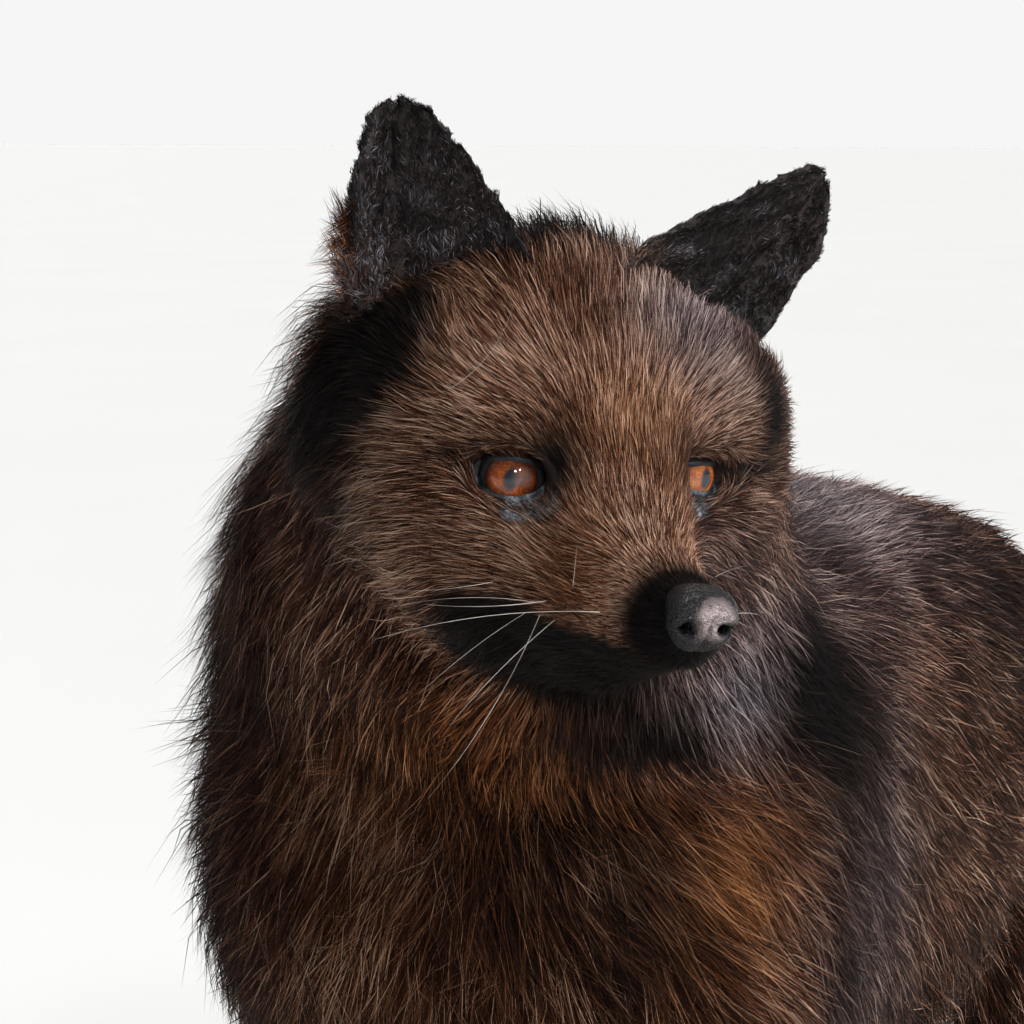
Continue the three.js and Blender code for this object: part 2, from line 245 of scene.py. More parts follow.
BODY_COAT = [
    ((60, -310, 400), 42, (28, 19, 0.25, 1.55, 15, 0.8)),
    ((-50, -280, 420), 48, (36, 27, 0.28, 1.35, 18, 0.8)),
    ((100, -210, 420), 45, (30, 19, 0.29, 1.2, 15, 0.65)),
    ((20, -160, 480), 48, (36, 20, 0.55, 0.36, 15, 0.5)),
    ((20, -300, 330), 50, (33, 20, 0.27, 1.4, 18, 0.85)),
    ((0, -260, 250), 50, (36, 16, 0.38, 0.8, 15, 0.5)),
    ((95, -200, 330), 52, (29, 17, 0.29, 1.3, 13, 0.6)),
    ((-95, -200, 330), 52, (38, 24, 0.46, 0.5, 13, 0.5)),
    ((100, -90, 330), 60, (26, 16, 0.32, 1.1, 12, 0.35)),
    ((-100, -90, 330), 60, (31, 15, 0.6, 0.3, 12, 0.4)),
    ((20, -70, 434), 62, (25, 19, 0.36, 0.85, 12, 0.35)),
    ((85, 60, 330), 60, (29, 16, 0.55, 0.42, 11, 0.4)),
    ((-85, 60, 330), 60, (29, 15, 0.7, 0.25, 11, 0.4)),
    ((0, 100, 400), 60, (31, 16, 0.7, 0.27, 12, 0.4)),
    ((0, 190, 360), 50, (31, 16, 0.8, 0.22, 12, 0.4)),
    ((0, -60, 195), 60, (46, 36, 0.65, 0.3, 10, 0.4)),
    ((0, 90, 205), 55, (44, 38, 0.7, 0.3, 9, 0.4)),
    ((84, 10, 232), 30, (48, 30, 0.55, 0.5, 9, 0.45)),
    ((60, -130, 195), 26, (22, 15, 0.5, 0.45, 7, 0.35)),
    ((-60, -130, 195), 26, (22, 15, 0.5, 0.42, 7, 0.35)),
    *left_and_right([
        ((52, -140, 150), 40, (9, 14, 0.48, 0.6, 4, 0.25)),
        ((50, -150, 70), 34, (6, 12, 0.45, 0.85, 3, 0.2)),
        ((58, 140, 240), 40, (20, 15, 0.6, 0.32, 8, 0.35)),
        ((52, 155, 165), 36, (11, 14, 0.52, 0.5, 4.5, 0.25)),
        ((48, 180, 85), 36, (6.5, 12, 0.46, 0.75, 3, 0.2)),
        ((50, -172, 32), 24, (4, 12, 0.42, 1.0, 2, 0.15)),
        ((48, 148, 32), 24, (4, 12, 0.42, 1.0, 2, 0.15)),
    ]),
    ((0, 220, 335), 32, (24, 16, 0.8, 0.28, 9, 0.4)),
    ((0, 290, 265), 40, (36, 19, 0.9, 0.24, 17, 0.45)),
    ((0, 340, 200), 48, (44, 21, 1.0, 0.21, 25, 0.5)),
    ((0, 430, 155), 52, (46, 21, 1.0, 0.21, 27, 0.5)),
    ((0, 525, 142), 34, (36, 15, 0.9, 0.3, 15, 0.5)),
]
print("coat spots:", len(HEAD_COAT), "on the head,", len(BODY_COAT), "on the body")

# %% Values from the head and the body
HEAD_REACH = (96.0, 118.0)  # how far from the head's middle the head's own spots hold
HEAD_MIDDLE = (-22.0, 0.0, 0.0)


def head_share(points):
    """1 on the head, 0 on the body, and between the two on the ruff."""
    away = np.linalg.norm(to_head(points) - HEAD_MIDDLE, axis=1)
    return 1.0 - smooth_step(*HEAD_REACH, away)


def over_body(points, head_rows, body_rows):
    share = head_share(points)[:, None]
    on_head = blended(to_head(points), head_rows)
    on_body = blended(points, body_rows)
    return share * on_head + (1.0 - share) * on_body


crown = over_body(from_head([[-44, 0, 64]]), HEAD_COAT, BODY_COAT)[0]
print("hair on the crown:", crown[0].round(1), "mm long, lifted", crown[1].round(1), "degrees")

# %% [markdown]
# ## One skin
# The solids are parted at the neck, the legs and the tail, but the real skin is one hide. They
# could be joined by a boolean, which leaves a crease at each joint. Voxel remeshing leaves none:
# the parts are swollen until they touch, filled with small cubes and wrapped again. The wrapped
# surface is the coat's outside, so it is then drawn inward by the coat's depth.

# %% Fuse the flesh into one surface
FLESH = ["head", "lower_jaw", "neck", "trunk", "tail"]
for limb in ("foreleg", "hindleg", "forepaw", "hindpaw"):
    FLESH += [f"{limb}_left", f"{limb}_right"]
FILLING = ["eye_left", "eye_right", "nose"]
VOXEL = 3.3  # mm
GAP_CLOSING = 0.35  # mm, a little more than the gap between two solids


def fused(names):
    whole = bmesh.new()
    for name in names:
        part = bmesh.new()
        part.from_mesh(nodes[name].data)
        bmesh.ops.remove_doubles(part, verts=part.verts, dist=0.02 * MM)
        part.normal_update()
        for vert in part.verts:
            vert.co += vert.normal * GAP_CLOSING * MM
        mesh = bpy.data.meshes.new(name)
        part.to_mesh(mesh)
        part.free()
        whole.from_mesh(mesh)
        bpy.data.meshes.remove(mesh)
    return whole


skin = object_from_bmesh("skin", fused(FLESH + FILLING))
with_modifier(skin, "REMESH", mode="VOXEL", voxel_size=VOXEL * MM)
with_modifier(skin, "SMOOTH", factor=0.5, iterations=6)
print("fused skin:", len(skin.data.vertices), "vertices")

# %% Draw it inward by the coat's depth
DRAW_STEPS = 6
depth = over_body(mesh_points(skin.data), HEAD_COAT, BODY_COAT)[:, 4]
for step in range(DRAW_STEPS):
    points = mesh_points(skin.data)
    points -= mesh_normals(skin.data) * (depth / DRAW_STEPS)[:, None]
    set_points(skin.data, points)
    with_modifier(skin, "SMOOTH", factor=0.5, iterations=2)
with_modifier(skin, "REMESH", mode="VOXEL", voxel_size=VOXEL * MM)
with_modifier(skin, "SMOOTH", factor=0.5, iterations=3)
print("skin under the coat:", len(skin.data.vertices), "vertices")

# %% [markdown]
# ## Eyes, seen from their own axes
# Each glass eye looks a little outward. Its own axes have g along the gaze, s toward the outer
# corner of the lids and u up across the opening. Lids, socket and iris all use them, so the left
# and the right eye share one recipe.

# %% Eye axes
EYE_RADIUS = 9.5
GAZE_SPLAY = 25.0
EYES = {}
for name, side, centre in (("left", 1, (-8.6, 25.8, 1.0)), ("right", -1, (-8.4, -23.0, -2.5))):
    angle = math.radians(GAZE_SPLAY) * side
    gaze = np.array([math.cos(angle), math.sin(angle), 0.0])
    outward = np.array([-math.sin(angle), math.cos(angle), 0.0]) * side
    EYES[name] = {"centre": np.array(centre), "axes": np.stack([gaze, outward, [0.0, 0.0, 1.0]], 1)}


def in_eye(name, head_points):
    """Head places as (g, s, u) from the eye's middle."""
    return (head_points - EYES[name]["centre"]) @ EYES[name]["axes"]


def from_eye(name, places):
    """Places in an eye's axes, as places in the scene, in mm."""
    return from_head(np.asarray(places) @ EYES[name]["axes"].T + EYES[name]["centre"])


print({name: from_eye(name, [[EYE_RADIUS, 0, 0]]).round(1).tolist() for name in EYES})

# %% [markdown]
# ## Shaping the face
# The remeshed face is an egg. A taxidermist models the sockets, the stop between the eyes, the
# lips and the flat sides of the muzzle in clay. Here the face's triangles are first divided, and
# then moved by smooth hills and hollows placed in the head's axes.

# %% Divide the face
def divide_near(obj, place, reach):
    bm = bmesh.new()
    bm.from_mesh(obj.data)
    away = np.linalg.norm(to_head(mesh_points(obj.data)) - place, axis=1)
    bm.verts.ensure_lookup_table()
    near = [edge for edge in bm.edges if all(away[vert.index] < reach for vert in edge.verts)]
    bmesh.ops.subdivide_edges(bm, edges=near, cuts=1, use_grid_fill=True, smooth=0.0)
    bmesh.ops.triangulate(bm, faces=[face for face in bm.faces if len(face.verts) > 4])
    bm.to_mesh(obj.data)
    bm.free()
    obj.data.update()


for place, reach in (((22, 0, -14), 62), ((2, 0, -4), 36)):
    divide_near(skin, place, reach)
print("skin with a finer face:", len(skin.data.vertices), "vertices")

# %% Shape the face
# (place, reach along x, y, z, push): hills are pushed out, hollows in, along the surface's normal
FACE_FORMS = both_sides([
    ((14, 0, 6), (14, 8, 12), -3.0),
    ((34, 0, -4), (20, 5, 7), 1.2),
    ((0, 12, 18), (9, 7, 9), 2.2),
    ((-9, 29, 12), (9, 10, 4), 3.4),
    ((4, 15, 3), (7, 5, 6), -1.8),
    ((17, 24, -15), (15, 7, 8), -3.4),
    ((40, 18, -21), (16, 6, 6), -2.0),
    ((-14, 45, -13), (14, 9, 8), 2.8),
    ((46, 17, -33), (15, 7, 5), 2.2),
    ((20, 25, -32), (12, 7, 5), 1.6),
    ((-34, 26, 52), (14, 10, 10), -1.5),
]) + [((8, 13, 6), (9, 5, 9), 3.0)]


def lip_height(x):
    return -40.5 + (64.0 - x) * math.tan(math.radians(6.0)) * -0.55


def shape_face(head_points, normals):
    push = np.zeros(len(head_points))
    for place, reach, amount in FACE_FORMS:
        away = (((head_points - place) / np.asarray(reach)) ** 2).sum(1)
        push += amount * np.exp(-0.5 * away)
    x, z = head_points[:, 0], head_points[:, 2]
    along_lips = smooth_step(-16, 2, x) * (1.0 - smooth_step(66, 74, x))
    under = z - lip_height(x)
    push -= along_lips * 2.6 * (1.0 - smooth_step(-5.0, 0.5, under)) * smooth_step(-26, -12, under)
    push -= along_lips * 1.6 * np.exp(-((under + 0.6) / 1.3) ** 2)
    return head_points + normals * push[:, None]


SOCKET = (15.0, 10.5)  # half its length and half its height, in mm


def open_sockets(head_points):
    """Hollows behind the lids, so that only lids and eyeballs show there."""
    out = head_points.copy()
    for name in EYES:
        g, s, u = in_eye(name, out).T
        spread = np.sqrt((s / SOCKET[0]) ** 2 + (u / SOCKET[1]) ** 2)
        inside = (g > -4) & (spread < 1.0)
        hollow = 9.0 * (1.0 - smooth_step(0.55, 1.0, spread)) * inside
        out -= hollow[:, None] * EYES[name]["axes"][:, 0]
    return out


head_normals = mesh_normals(skin.data) @ HEAD[:3, :3]
face = shape_face(to_head(mesh_points(skin.data)), head_normals)
set_points(skin.data, from_head(face))
bpy.context.view_layer.update()
whole_face = BVHTree.FromObject(skin, bpy.context.evaluated_depsgraph_get())
set_points(skin.data, from_head(open_sockets(face)))
print("skin with a face:", len(skin.data.vertices), "vertices", len(mesh_triangles(skin.data)), "triangles")

# %% [markdown]
# ## Paint and glass
# A finish could be painted on a map, but a map has seams and a limit to its detail. Every material
# here is worked out from the place on the piece, or from values stored on its mesh. Helpers keep the
# node trees short: each adds one kind of node, and takes a value or another node's socket.

# %% Helpers for nodes
def node(tree, kind, inputs=None, **settings):
    """A new node with its settings and inputs given; an input may be a value or a socket."""
    made = tree.nodes.new(kind)
    for name, value in settings.items():
        setattr(made, name, value)
    for name, value in (inputs or {}).items():
        if isinstance(value, bpy.types.NodeSocket):
            tree.links.new(value, made.inputs[name])
        else:
            made.inputs[name].default_value = value
    return made


def ramp(tree, factor, *stops):
    """A colour ramp through (position, colour) stops."""
    made = node(tree, "ShaderNodeValToRGB", {0: factor})
    elements = made.color_ramp.elements
    while len(elements) < len(stops):
        elements.new(0.5)
    for element, (position, colour) in zip(elements, stops):
        element.position = position
        element.color = (*colour, 1.0)
    return made.outputs["Color"]


def mixed(tree, factor, first, second):
    """A mix of two colours, each given as a tuple or a socket."""
    made = node(tree, "ShaderNodeMix", data_type="RGBA")
    for socket, value in ((made.inputs[0], factor), (made.inputs[6], first), (made.inputs[7], second)):
        if isinstance(value, bpy.types.NodeSocket):
            tree.links.new(value, socket)
        elif isinstance(value, tuple):
            socket.default_value = (*value, 1.0)
        else:
            socket.default_value = value
    return made.outputs[2]


def maths(tree, operation, first, second=0.0, clamp=False):
    made = node(tree, "ShaderNodeMath", {0: first, 1: second}, operation=operation, use_clamp=clamp)
    return made.outputs[0]


def length_of(tree, vector):
    return node(tree, "ShaderNodeVectorMath", {0: vector}, operation="LENGTH").outputs["Value"]


def vector_of(tree, x, y, z=0.0):
    return node(tree, "ShaderNodeCombineXYZ", {0: x, 1: y, 2: z}).outputs[0]


def between(tree, value, low, high, to_low=0.0, to_high=1.0):
    made = node(tree, "ShaderNodeMapRange", {0: value, 1: low, 2: high, 3: to_low, 4: to_high})
    return made.outputs[0]


def noise(tree, place, scale, detail=3.0, roughness=0.5, distortion=0.0):
    values = {"Vector": place, "Scale": scale, "Detail": detail}
    values.update({"Roughness": roughness, "Distortion": distortion})
    return node(tree, "ShaderNodeTexNoise", values).outputs["Fac"]


print("helpers for nodes ready, materials so far:", len(bpy.data.materials))

# %% Helpers for materials
def object_place(tree, scale=(1.0, 1.0, 1.0), location=(0.0, 0.0, 0.0), rotation=(0.0, 0.0, 0.0)):
    """Object coordinates through a Mapping node."""
    coordinates = node(tree, "ShaderNodeTexCoord").outputs["Object"]
    values = {"Vector": coordinates, "Location": location, "Rotation": rotation, "Scale": scale}
    return node(tree, "ShaderNodeMapping", values).outputs["Vector"]


def new_material(name, **values):
    """A material with one Principled shader; the values are set on the shader's own sockets."""
    material = bpy.data.materials.new(name)
    material.use_nodes = True
    tree = material.node_tree
    tree.nodes.clear()
    shader = node(tree, "ShaderNodeBsdfPrincipled", {key.replace("_", " "): v for key, v in values.items()})
    out = node(tree, "ShaderNodeOutputMaterial")
    tree.links.new(shader.outputs[0], out.inputs["Surface"])
    return material, tree, shader


def bump(tree, shader, height, strength=0.5, distance=0.001):
    made = node(tree, "ShaderNodeBump", {"Strength": strength, "Distance": distance, "Height": height})
    tree.links.new(made.outputs["Normal"], shader.inputs["Normal"])


print("node groups so far:", len(bpy.data.node_groups))

# %% [markdown]
# ## The coat's colours
# The fox is a dark one. Each hair is nearly black at its root and browner toward its tip, and the
# tufts run from dark to pale, with most of them dark. The bib is rusty, and the lips, the nose
# ring, the ears and the feet are black. Skin and hair take their colour from one node group, so
# the markings agree.

# %% The coat's colours
def coat_colours():
    group = bpy.data.node_groups.new("fox colours", "ShaderNodeTree")
    for name, kind in (("Along", "Float"), ("Tuft", "Float"), ("Mark", "Color"), ("Strand", "Float")):
        group.interface.new_socket(name=name, in_out="INPUT", socket_type=f"NodeSocket{kind}")
    group.interface.new_socket(name="Colour", in_out="OUTPUT", socket_type="NodeSocketColor")
    given = node(group, "NodeGroupInput").outputs
    marks = node(group, "ShaderNodeSeparateColor", {0: given["Mark"]}).outputs
    place = object_place(group)
    patch = noise(group, place, 24.0, 3.0)
    fleck = noise(group, place, 140.0, 2.0)
    shade = maths(group, "ADD", given["Tuft"], between(group, patch, 0.3, 0.7, -0.22, 0.22))
    shade = maths(group, "ADD", shade, given["Strand"], clamp=True)
    # The palest stop is partly the pale tips of guard hairs and partly painted highlight, standing in for
    # the gloss of the hair.
    brown = ramp(
        group, shade, (0.0, (0.010, 0.0032, 0.0018)), (0.42, (0.034, 0.0088, 0.0036)),
        (0.62, (0.106, 0.033, 0.0125)), (0.82, (0.28, 0.128, 0.068)), (1.0, (0.60, 0.40, 0.29)),
    )
    rust = ramp(
        group, shade, (0.0, (0.014, 0.0042, 0.0018)), (0.35, (0.056, 0.016, 0.0045)),
        (0.7, (0.23, 0.070, 0.013)), (1.0, (0.47, 0.21, 0.080)),
    )
    # The grey ramp colours the ears' grey lint and, mostly, the painted sheen of the grey spots.
    grey_and_sheen = ramp(
        group, shade, (0.0, (0.012, 0.010, 0.012)), (0.5, (0.047, 0.042, 0.052)), (1.0, (0.33, 0.31, 0.35)),
    )
    tip = mixed(group, marks[0], brown, rust)
    tip = mixed(group, marks[2], tip, grey_and_sheen)
    root = mixed(group, 0.75, tip, (0.004, 0.002, 0.0015))
    toward_tip = between(group, given["Along"], 0.1, 0.65)
    hair = mixed(group, toward_tip, root, tip)
    dark = maths(group, "MULTIPLY", marks[1], between(group, fleck, 0.2, 0.6, 0.96, 1.0))
    hair = mixed(group, dark, hair, (0.0018, 0.0014, 0.0017))
    node(group, "NodeGroupOutput", {"Colour": hair})
    return group


FOX_COLOURS = coat_colours()
print("inputs of the coat's colours:", [item.name for item in FOX_COLOURS.interface.items_tree])

# %% Hair and skin
def hair_material(name, strands=0.0, **values):
    """Strands draws that many finer hairs along each blade, as stripes of shade and relief."""
    material, tree, shader = new_material(name, **values)
    along = node(tree, "ShaderNodeAttribute", attribute_name="along").outputs["Fac"]
    tuft = node(tree, "ShaderNodeAttribute", attribute_name="tuft").outputs["Fac"]
    mark = node(tree, "ShaderNodeAttribute", attribute_name="mark").outputs["Color"]
    group = node(tree, "ShaderNodeGroup", node_tree=FOX_COLOURS)
    for name, socket in (("Along", along), ("Tuft", tuft), ("Mark", mark)):
        tree.links.new(socket, group.inputs[name])
    if strands:
        across = node(tree, "ShaderNodeAttribute", attribute_name="across").outputs["Fac"]
        own_place = maths(tree, "MULTIPLY", tuft, 911.0)
        stripe_place = vector_of(tree, maths(tree, "MULTIPLY", across, strands), own_place, along)
        stripes = noise(tree, stripe_place, 1.0, 1.0)
        tree.links.new(between(tree, stripes, 0.3, 0.7, -0.25, 0.25), group.inputs["Strand"])
        bump(tree, shader, stripes, 0.5, 0.0004)
    tree.links.new(group.outputs["Colour"], shader.inputs["Base Color"])
    return material, tree, shader


WARM = (1.0, 0.84, 0.74, 1.0)
HAIR = hair_material("fox hair", 1.6, Roughness=0.42, Specular_IOR_Level=0.07, Specular_Tint=WARM)[0]
VELVET = hair_material("ear velvet", Roughness=0.6, Specular_IOR_Level=0.2)[0]
SKIN, tree, shader = hair_material("fox skin", Roughness=0.75)
grain = noise(tree, object_place(tree), 900.0, 4.0)
bump(tree, shader, grain, 0.6, 0.0006)
print("materials for the coat:", HAIR.name, SKIN.name)

# %% [markdown]
# ## Glass eyes
# A taxidermist's eye is a glass half-ball painted from behind: an orange-brown iris with fine rays,
# a dark rim, and an upright oval pupil. Clear glass over a painted disc would show the same, but
# slowly and with noise. Here it is a whole glossy ball, turned so that its pole lies on the gaze,
# and the rings and rays are drawn in the eye's own axes by a Mapping node.

# %% Paint of the eyes
def eye_matrix(name):
    """Carries the eye's own (s, u, g) in metres to the scene."""
    eye = EYES[name]
    turn = HEAD[:3, :3] @ eye["axes"][:, [1, 2, 0]]
    if np.linalg.det(turn) < 0:
        turn[:, 0] *= -1.0
    matrix = Matrix.Identity(4)
    for row in range(3):
        for column in range(3):
            matrix[row][column] = turn[row, column]
    matrix.translation = Vector(from_head([eye["centre"]])[0] * MM)
    return matrix


def eye_material(name):
    material, tree, shader = new_material(f"glass eye {name}", Roughness=0.03, IOR=1.5)
    inverse = eye_matrix(name).inverted()
    place = object_place(tree, location=inverse.translation, rotation=inverse.to_euler())
    place = node(tree, "ShaderNodeVectorMath", {0: place, "Scale": 1000.0}, operation="SCALE").outputs[0]
    apart = node(tree, "ShaderNodeSeparateXYZ", {0: place}).outputs
    away = length_of(tree, vector_of(tree, apart[0], apart[1]))
    turn = maths(tree, "ARCTAN2", apart[1], apart[0])
    rays = noise(tree, vector_of(tree, maths(tree, "MULTIPLY", turn, 5.0), away), 1.6, 4.0, 0.65, 0.4)
    clouds = noise(tree, place, 0.35, 3.0)
    tone = maths(tree, "ADD", maths(tree, "MULTIPLY", rays, 0.6), maths(tree, "MULTIPLY", clouds, 0.5))
    # The far eye's iris is painted brighter, for the light that passes through it.
    tone = maths(tree, "ADD", tone, 0.1 if name == "left" else 0.0)
    iris = ramp(
        tree, tone, (0.35, (0.035, 0.007, 0.002)), (0.5, (0.15, 0.030, 0.008)),
        (0.64, (0.31, 0.068, 0.012)), (0.8, (0.55, 0.20, 0.038)),
    )
    iris = mixed(tree, between(tree, away, 4.6, 7.0), iris, (0.020, 0.008, 0.006))
    # Painted shadow of the upper lid: the iris darkens toward its top.
    iris = mixed(tree, between(tree, apart[1], 1.0, 6.5, 0.0, 0.9), iris, (0.016, 0.006, 0.004))
    slit = length_of(tree, vector_of(tree, maths(tree, "MULTIPLY", apart[0], 1.6), apart[1]))
    iris = mixed(tree, between(tree, slit, 2.3, 3.9), (0.014, 0.016, 0.022), iris)
    # A pale painted reflection of the lamps beside the pupil, stronger on the near eye.
    reflection_place = object_place(tree, location=tuple(-from_eye(name, [[EYE_RADIUS, -3.4, 0.8]])[0] * MM))
    reflection_strength = 0.7 if name == "right" else 0.3
    painted_reflection = between(tree, length_of(tree, reflection_place), 0.0012, 0.0036, reflection_strength, 0.0)
    iris = mixed(tree, painted_reflection, iris, (0.15, 0.105, 0.095))
    white = mixed(tree, between(tree, away, 6.9, 7.5), iris, (0.022, 0.024, 0.028))
    tree.links.new(white, shader.inputs["Base Color"])
    return material


print("iris centres:", {name: [round(x, 3) for x in eye_matrix(name).translation] for name in EYES})

# %% Eyeballs
def eyeball(name):
    bm = bmesh.new()
    bmesh.ops.create_uvsphere(bm, u_segments=64, v_segments=40, radius=EYE_RADIUS * MM)
    for vert in bm.verts:
        front = max(0.0, vert.co.z / (EYE_RADIUS * MM) - 0.72) / 0.28
        vert.co.z += 0.5 * MM * front * front
    bmesh.ops.transform(bm, matrix=eye_matrix(name), verts=bm.verts)
    return object_from_bmesh(f"eyeball_{name}", bm, eye_material(name))


for name in EYES:
    finish_piece(eyeball(name), "eye_glass", f"eye_{name}")
print("eyeballs:", EYE_RADIUS * 2, "mm across")

# %% [markdown]
# ## Lids
# The lids are bare, dark and a little wrinkled. Each pair is one ring of skin: it starts just
# inside the almond-shaped opening, rolls over the lid's edge on the glass, dips into the crease
# under the brow and ends under the fur. A grid bent into a ring gives the rows this needs.

# %% Skin of the lids
OPENING = {"half_long": 9.8, "over": 5.5, "under": 5.3}
NARROWED = {"left": 0.74, "right": 1.0}
LID_OUT = 9.5
LID_SKIN, tree, shader = new_material("lid skin", Roughness=0.5, Specular_IOR_Level=0.3)
place = object_place(tree)
folds = noise(tree, place, 420.0, 5.0, 0.6)
worn = noise(tree, place, 330.0, 5.0, 0.8)
black = ramp(tree, worn, (0.4, (0.004, 0.0042, 0.005)), (0.7, (0.013, 0.014, 0.017)))
blue = ramp(
    tree, worn, (0.4, (0.016, 0.019, 0.024)), (0.52, (0.060, 0.069, 0.080)), (0.66, (0.26, 0.27, 0.285)),
)
# The bare patch under the eye, with the painted highlight along the wet lower rim.
bare_skin_and_rim_shine = node(tree, "ShaderNodeAttribute", attribute_name="bare").outputs["Fac"]
tree.links.new(mixed(tree, bare_skin_and_rim_shine, black, blue), shader.inputs["Base Color"])
bump(tree, shader, folds, 0.7, 0.0006)


print("bare lid skin:", LID_SKIN.name)

# %% Shape of the lids
def grid_surface(across, along, place, merge=0.01):
    """A grid with its corners moved to place(u, v), in mm, and those that meet there joined."""
    bm = bmesh.new()
    bmesh.ops.create_grid(bm, x_segments=across, y_segments=along, size=0.5)
    uv = np.array([vert.co[:2] for vert in bm.verts]) + 0.5
    for vert, point in zip(bm.verts, place(uv[:, 0], uv[:, 1])):
        vert.co = Vector(point * MM)
    bmesh.ops.remove_doubles(bm, verts=bm.verts, dist=merge * MM)
    return bm


def lid_places(name):
    cast_axes = HEAD[:3, :3] @ EYES[name]["axes"]
    gaze = Vector(cast_axes[:, 0])

    def face_depth(s, u):
        start = from_eye(name, np.stack([np.full_like(s, 30.0), s, u], 1))
        found = np.empty(len(s))
        for i, point in enumerate(start):
            hit = whole_face.ray_cast(Vector(point * MM), -gaze)
            found[i] = 30.0 - hit[3] / MM if hit[0] else 0.0
        return found

    def place(around, out):
        turn = around * 2.0 * np.pi
        cosine, sine = np.cos(turn), np.sin(turn)
        high = np.where(sine > 0, OPENING["over"], OPENING["under"]) * NARROWED[name]
        apart = out * (LID_OUT + 0.9) - 0.9
        s = OPENING["half_long"] * cosine + apart * cosine
        u = high * np.sign(sine) * np.abs(sine) ** np.where(sine > 0, 0.65, 1.05) + apart * sine
        reach = np.hypot(s, u)
        on_glass = np.sqrt(np.maximum((EYE_RADIUS + 0.25) ** 2 - reach ** 2, 2.5 ** 2))
        roll = np.interp(apart, [-0.9, -0.3, 0.2, 0.6, 1.2], [-0.3, 0.15, 0.6, 0.7, 0.45])
        crease = -1.6 * np.exp(-((apart - 1.9) / 0.6) ** 2) * smooth_step(-0.1, 0.5, sine)
        pouch = -0.25 * np.exp(-((apart - 2.9) / 0.7) ** 2) * smooth_step(-0.1, 0.6, -sine)
        to_face = np.where(sine > 0.1, smooth_step(0.4, 5.5, apart), smooth_step(0.1, 3.4, apart))
        to_face += smooth_step(-0.2, 0.1, sine) * (smooth_step(0.4, 5.5, apart) - to_face)
        sink = 0.1 - 1.6 * smooth_step(5.5, LID_OUT, apart)
        g = (1.0 - to_face) * (on_glass + roll) + to_face * (face_depth(s, u) + sink) + crease + pouch
        return from_eye(name, np.stack([g, s, u], 1))

    return place


def eyelids(name):
    bm = grid_surface(96, 26, lid_places(name))
    bmesh.ops.recalc_face_normals(bm, faces=bm.faces)
    gaze = Vector(HEAD[:3, :3] @ EYES[name]["axes"][:, 0])
    if sum(face.normal.dot(gaze) for face in bm.faces) < 0:
        bmesh.ops.reverse_faces(bm, faces=bm.faces)
    lid = object_from_bmesh(f"eyelids_{name}", bm, LID_SKIN)
    g, s, u = in_eye(name, to_head(mesh_points(lid.data))).T
    patch = 1.0 - smooth_step(0.55, 1.15, np.hypot((s + 7.5) / 10.8, (u + 7.5) / 8.8))
    # A pale painted highlight along the lower lid's rim, standing for the shine of a wet rim.
    rim_shine = 0.7 * np.exp(-(((np.hypot(s / 9.8, u / 5.4) - 1.03) / 0.06) ** 2)) * (u < -1)
    layer = lid.data.attributes.new("bare", "FLOAT", "POINT")
    layer.data.foreach_set("value", np.maximum(patch, rim_shine).astype(np.float32))
    return lid


lids = {name: finish_piece(eyelids(name), "coat_black") for name in EYES}
print("lids:", {name: len(lid.data.polygons) for name, lid in lids.items()})

# %% [markdown]
# ## Nose
# The nose pad is bare, pebbled leather: a rounded block with a comma-shaped nostril on each side and
# a groove down its front. A ball with enough rows can be pushed into that shape, so the hollows stay
# smooth, where cut holes would leave sharp rims. Its front is rubbed pale.

# %% Shape of the nose
NOSE_AT = np.array([69.2, 0.9, -25.8])
NOSE_HALF = np.array([9.4, 8.7, 8.6])
NOSTRILS = [(5.4, -27.2), (-3.8, -27.2)]


def nose_pad():
    bm = bmesh.new()
    lying = Matrix.Rotation(math.pi / 2, 4, "Y")
    bmesh.ops.create_uvsphere(bm, u_segments=120, v_segments=84, radius=1.0, matrix=lying)
    ball = np.array([vert.co[:] for vert in bm.verts])
    squared = np.sign(ball) * np.abs(ball) ** 0.7
    pad = NOSE_AT + squared * NOSE_HALF
    x, y, z = pad.T
    front = smooth_step(66.0, 74.0, x)
    flat_front = 1.3 * smooth_step(75.0, 79.0, x)
    low = smooth_step(-26.5, -34.5, z)
    shift = -flat_front - 3.4 * low * front - 1.6 * smooth_step(-21.0, -16.5, z) * front
    for across, height in NOSTRILS:
        side = math.copysign(1.0, across)
        hole = np.exp(-(((y - across) / 2.0) ** 2 + ((z - height) / 1.6) ** 2) ** 1.4)
        slit = np.exp(-(((y - across - side * 3.0) / 2.8) ** 2 + ((z - height + 0.5) / 0.8) ** 2))
        shift -= front * (5.0 * hole + 2.4 * slit)
        shift += 0.9 * front * np.exp(-(((y - across * 1.1) / 3.4) ** 2 + ((z - height - 3.2) / 1.8) ** 2))
        shift += 1.3 * front * np.exp(-(((y - across * 1.2) / 2.8) ** 2 + ((z - height + 3.6) / 1.7) ** 2))
    groove = np.exp(-((y - 0.8) / 0.55) ** 2) * smooth_step(-24.5, -26.5, z)
    shift -= front * 1.3 * groove
    pad[:, 0] += shift
    pad[:, 1] *= 1.0 - 0.26 * low
    for vert, point in zip(bm.verts, from_head(pad)):
        vert.co = Vector(point * MM)
    bmesh.ops.smooth_vert(bm, verts=bm.verts, factor=0.5, use_axis_x=True, use_axis_y=True, use_axis_z=True)
    return bm


print("nose:", (NOSE_HALF * 2).round(1), "mm deep, wide and high")

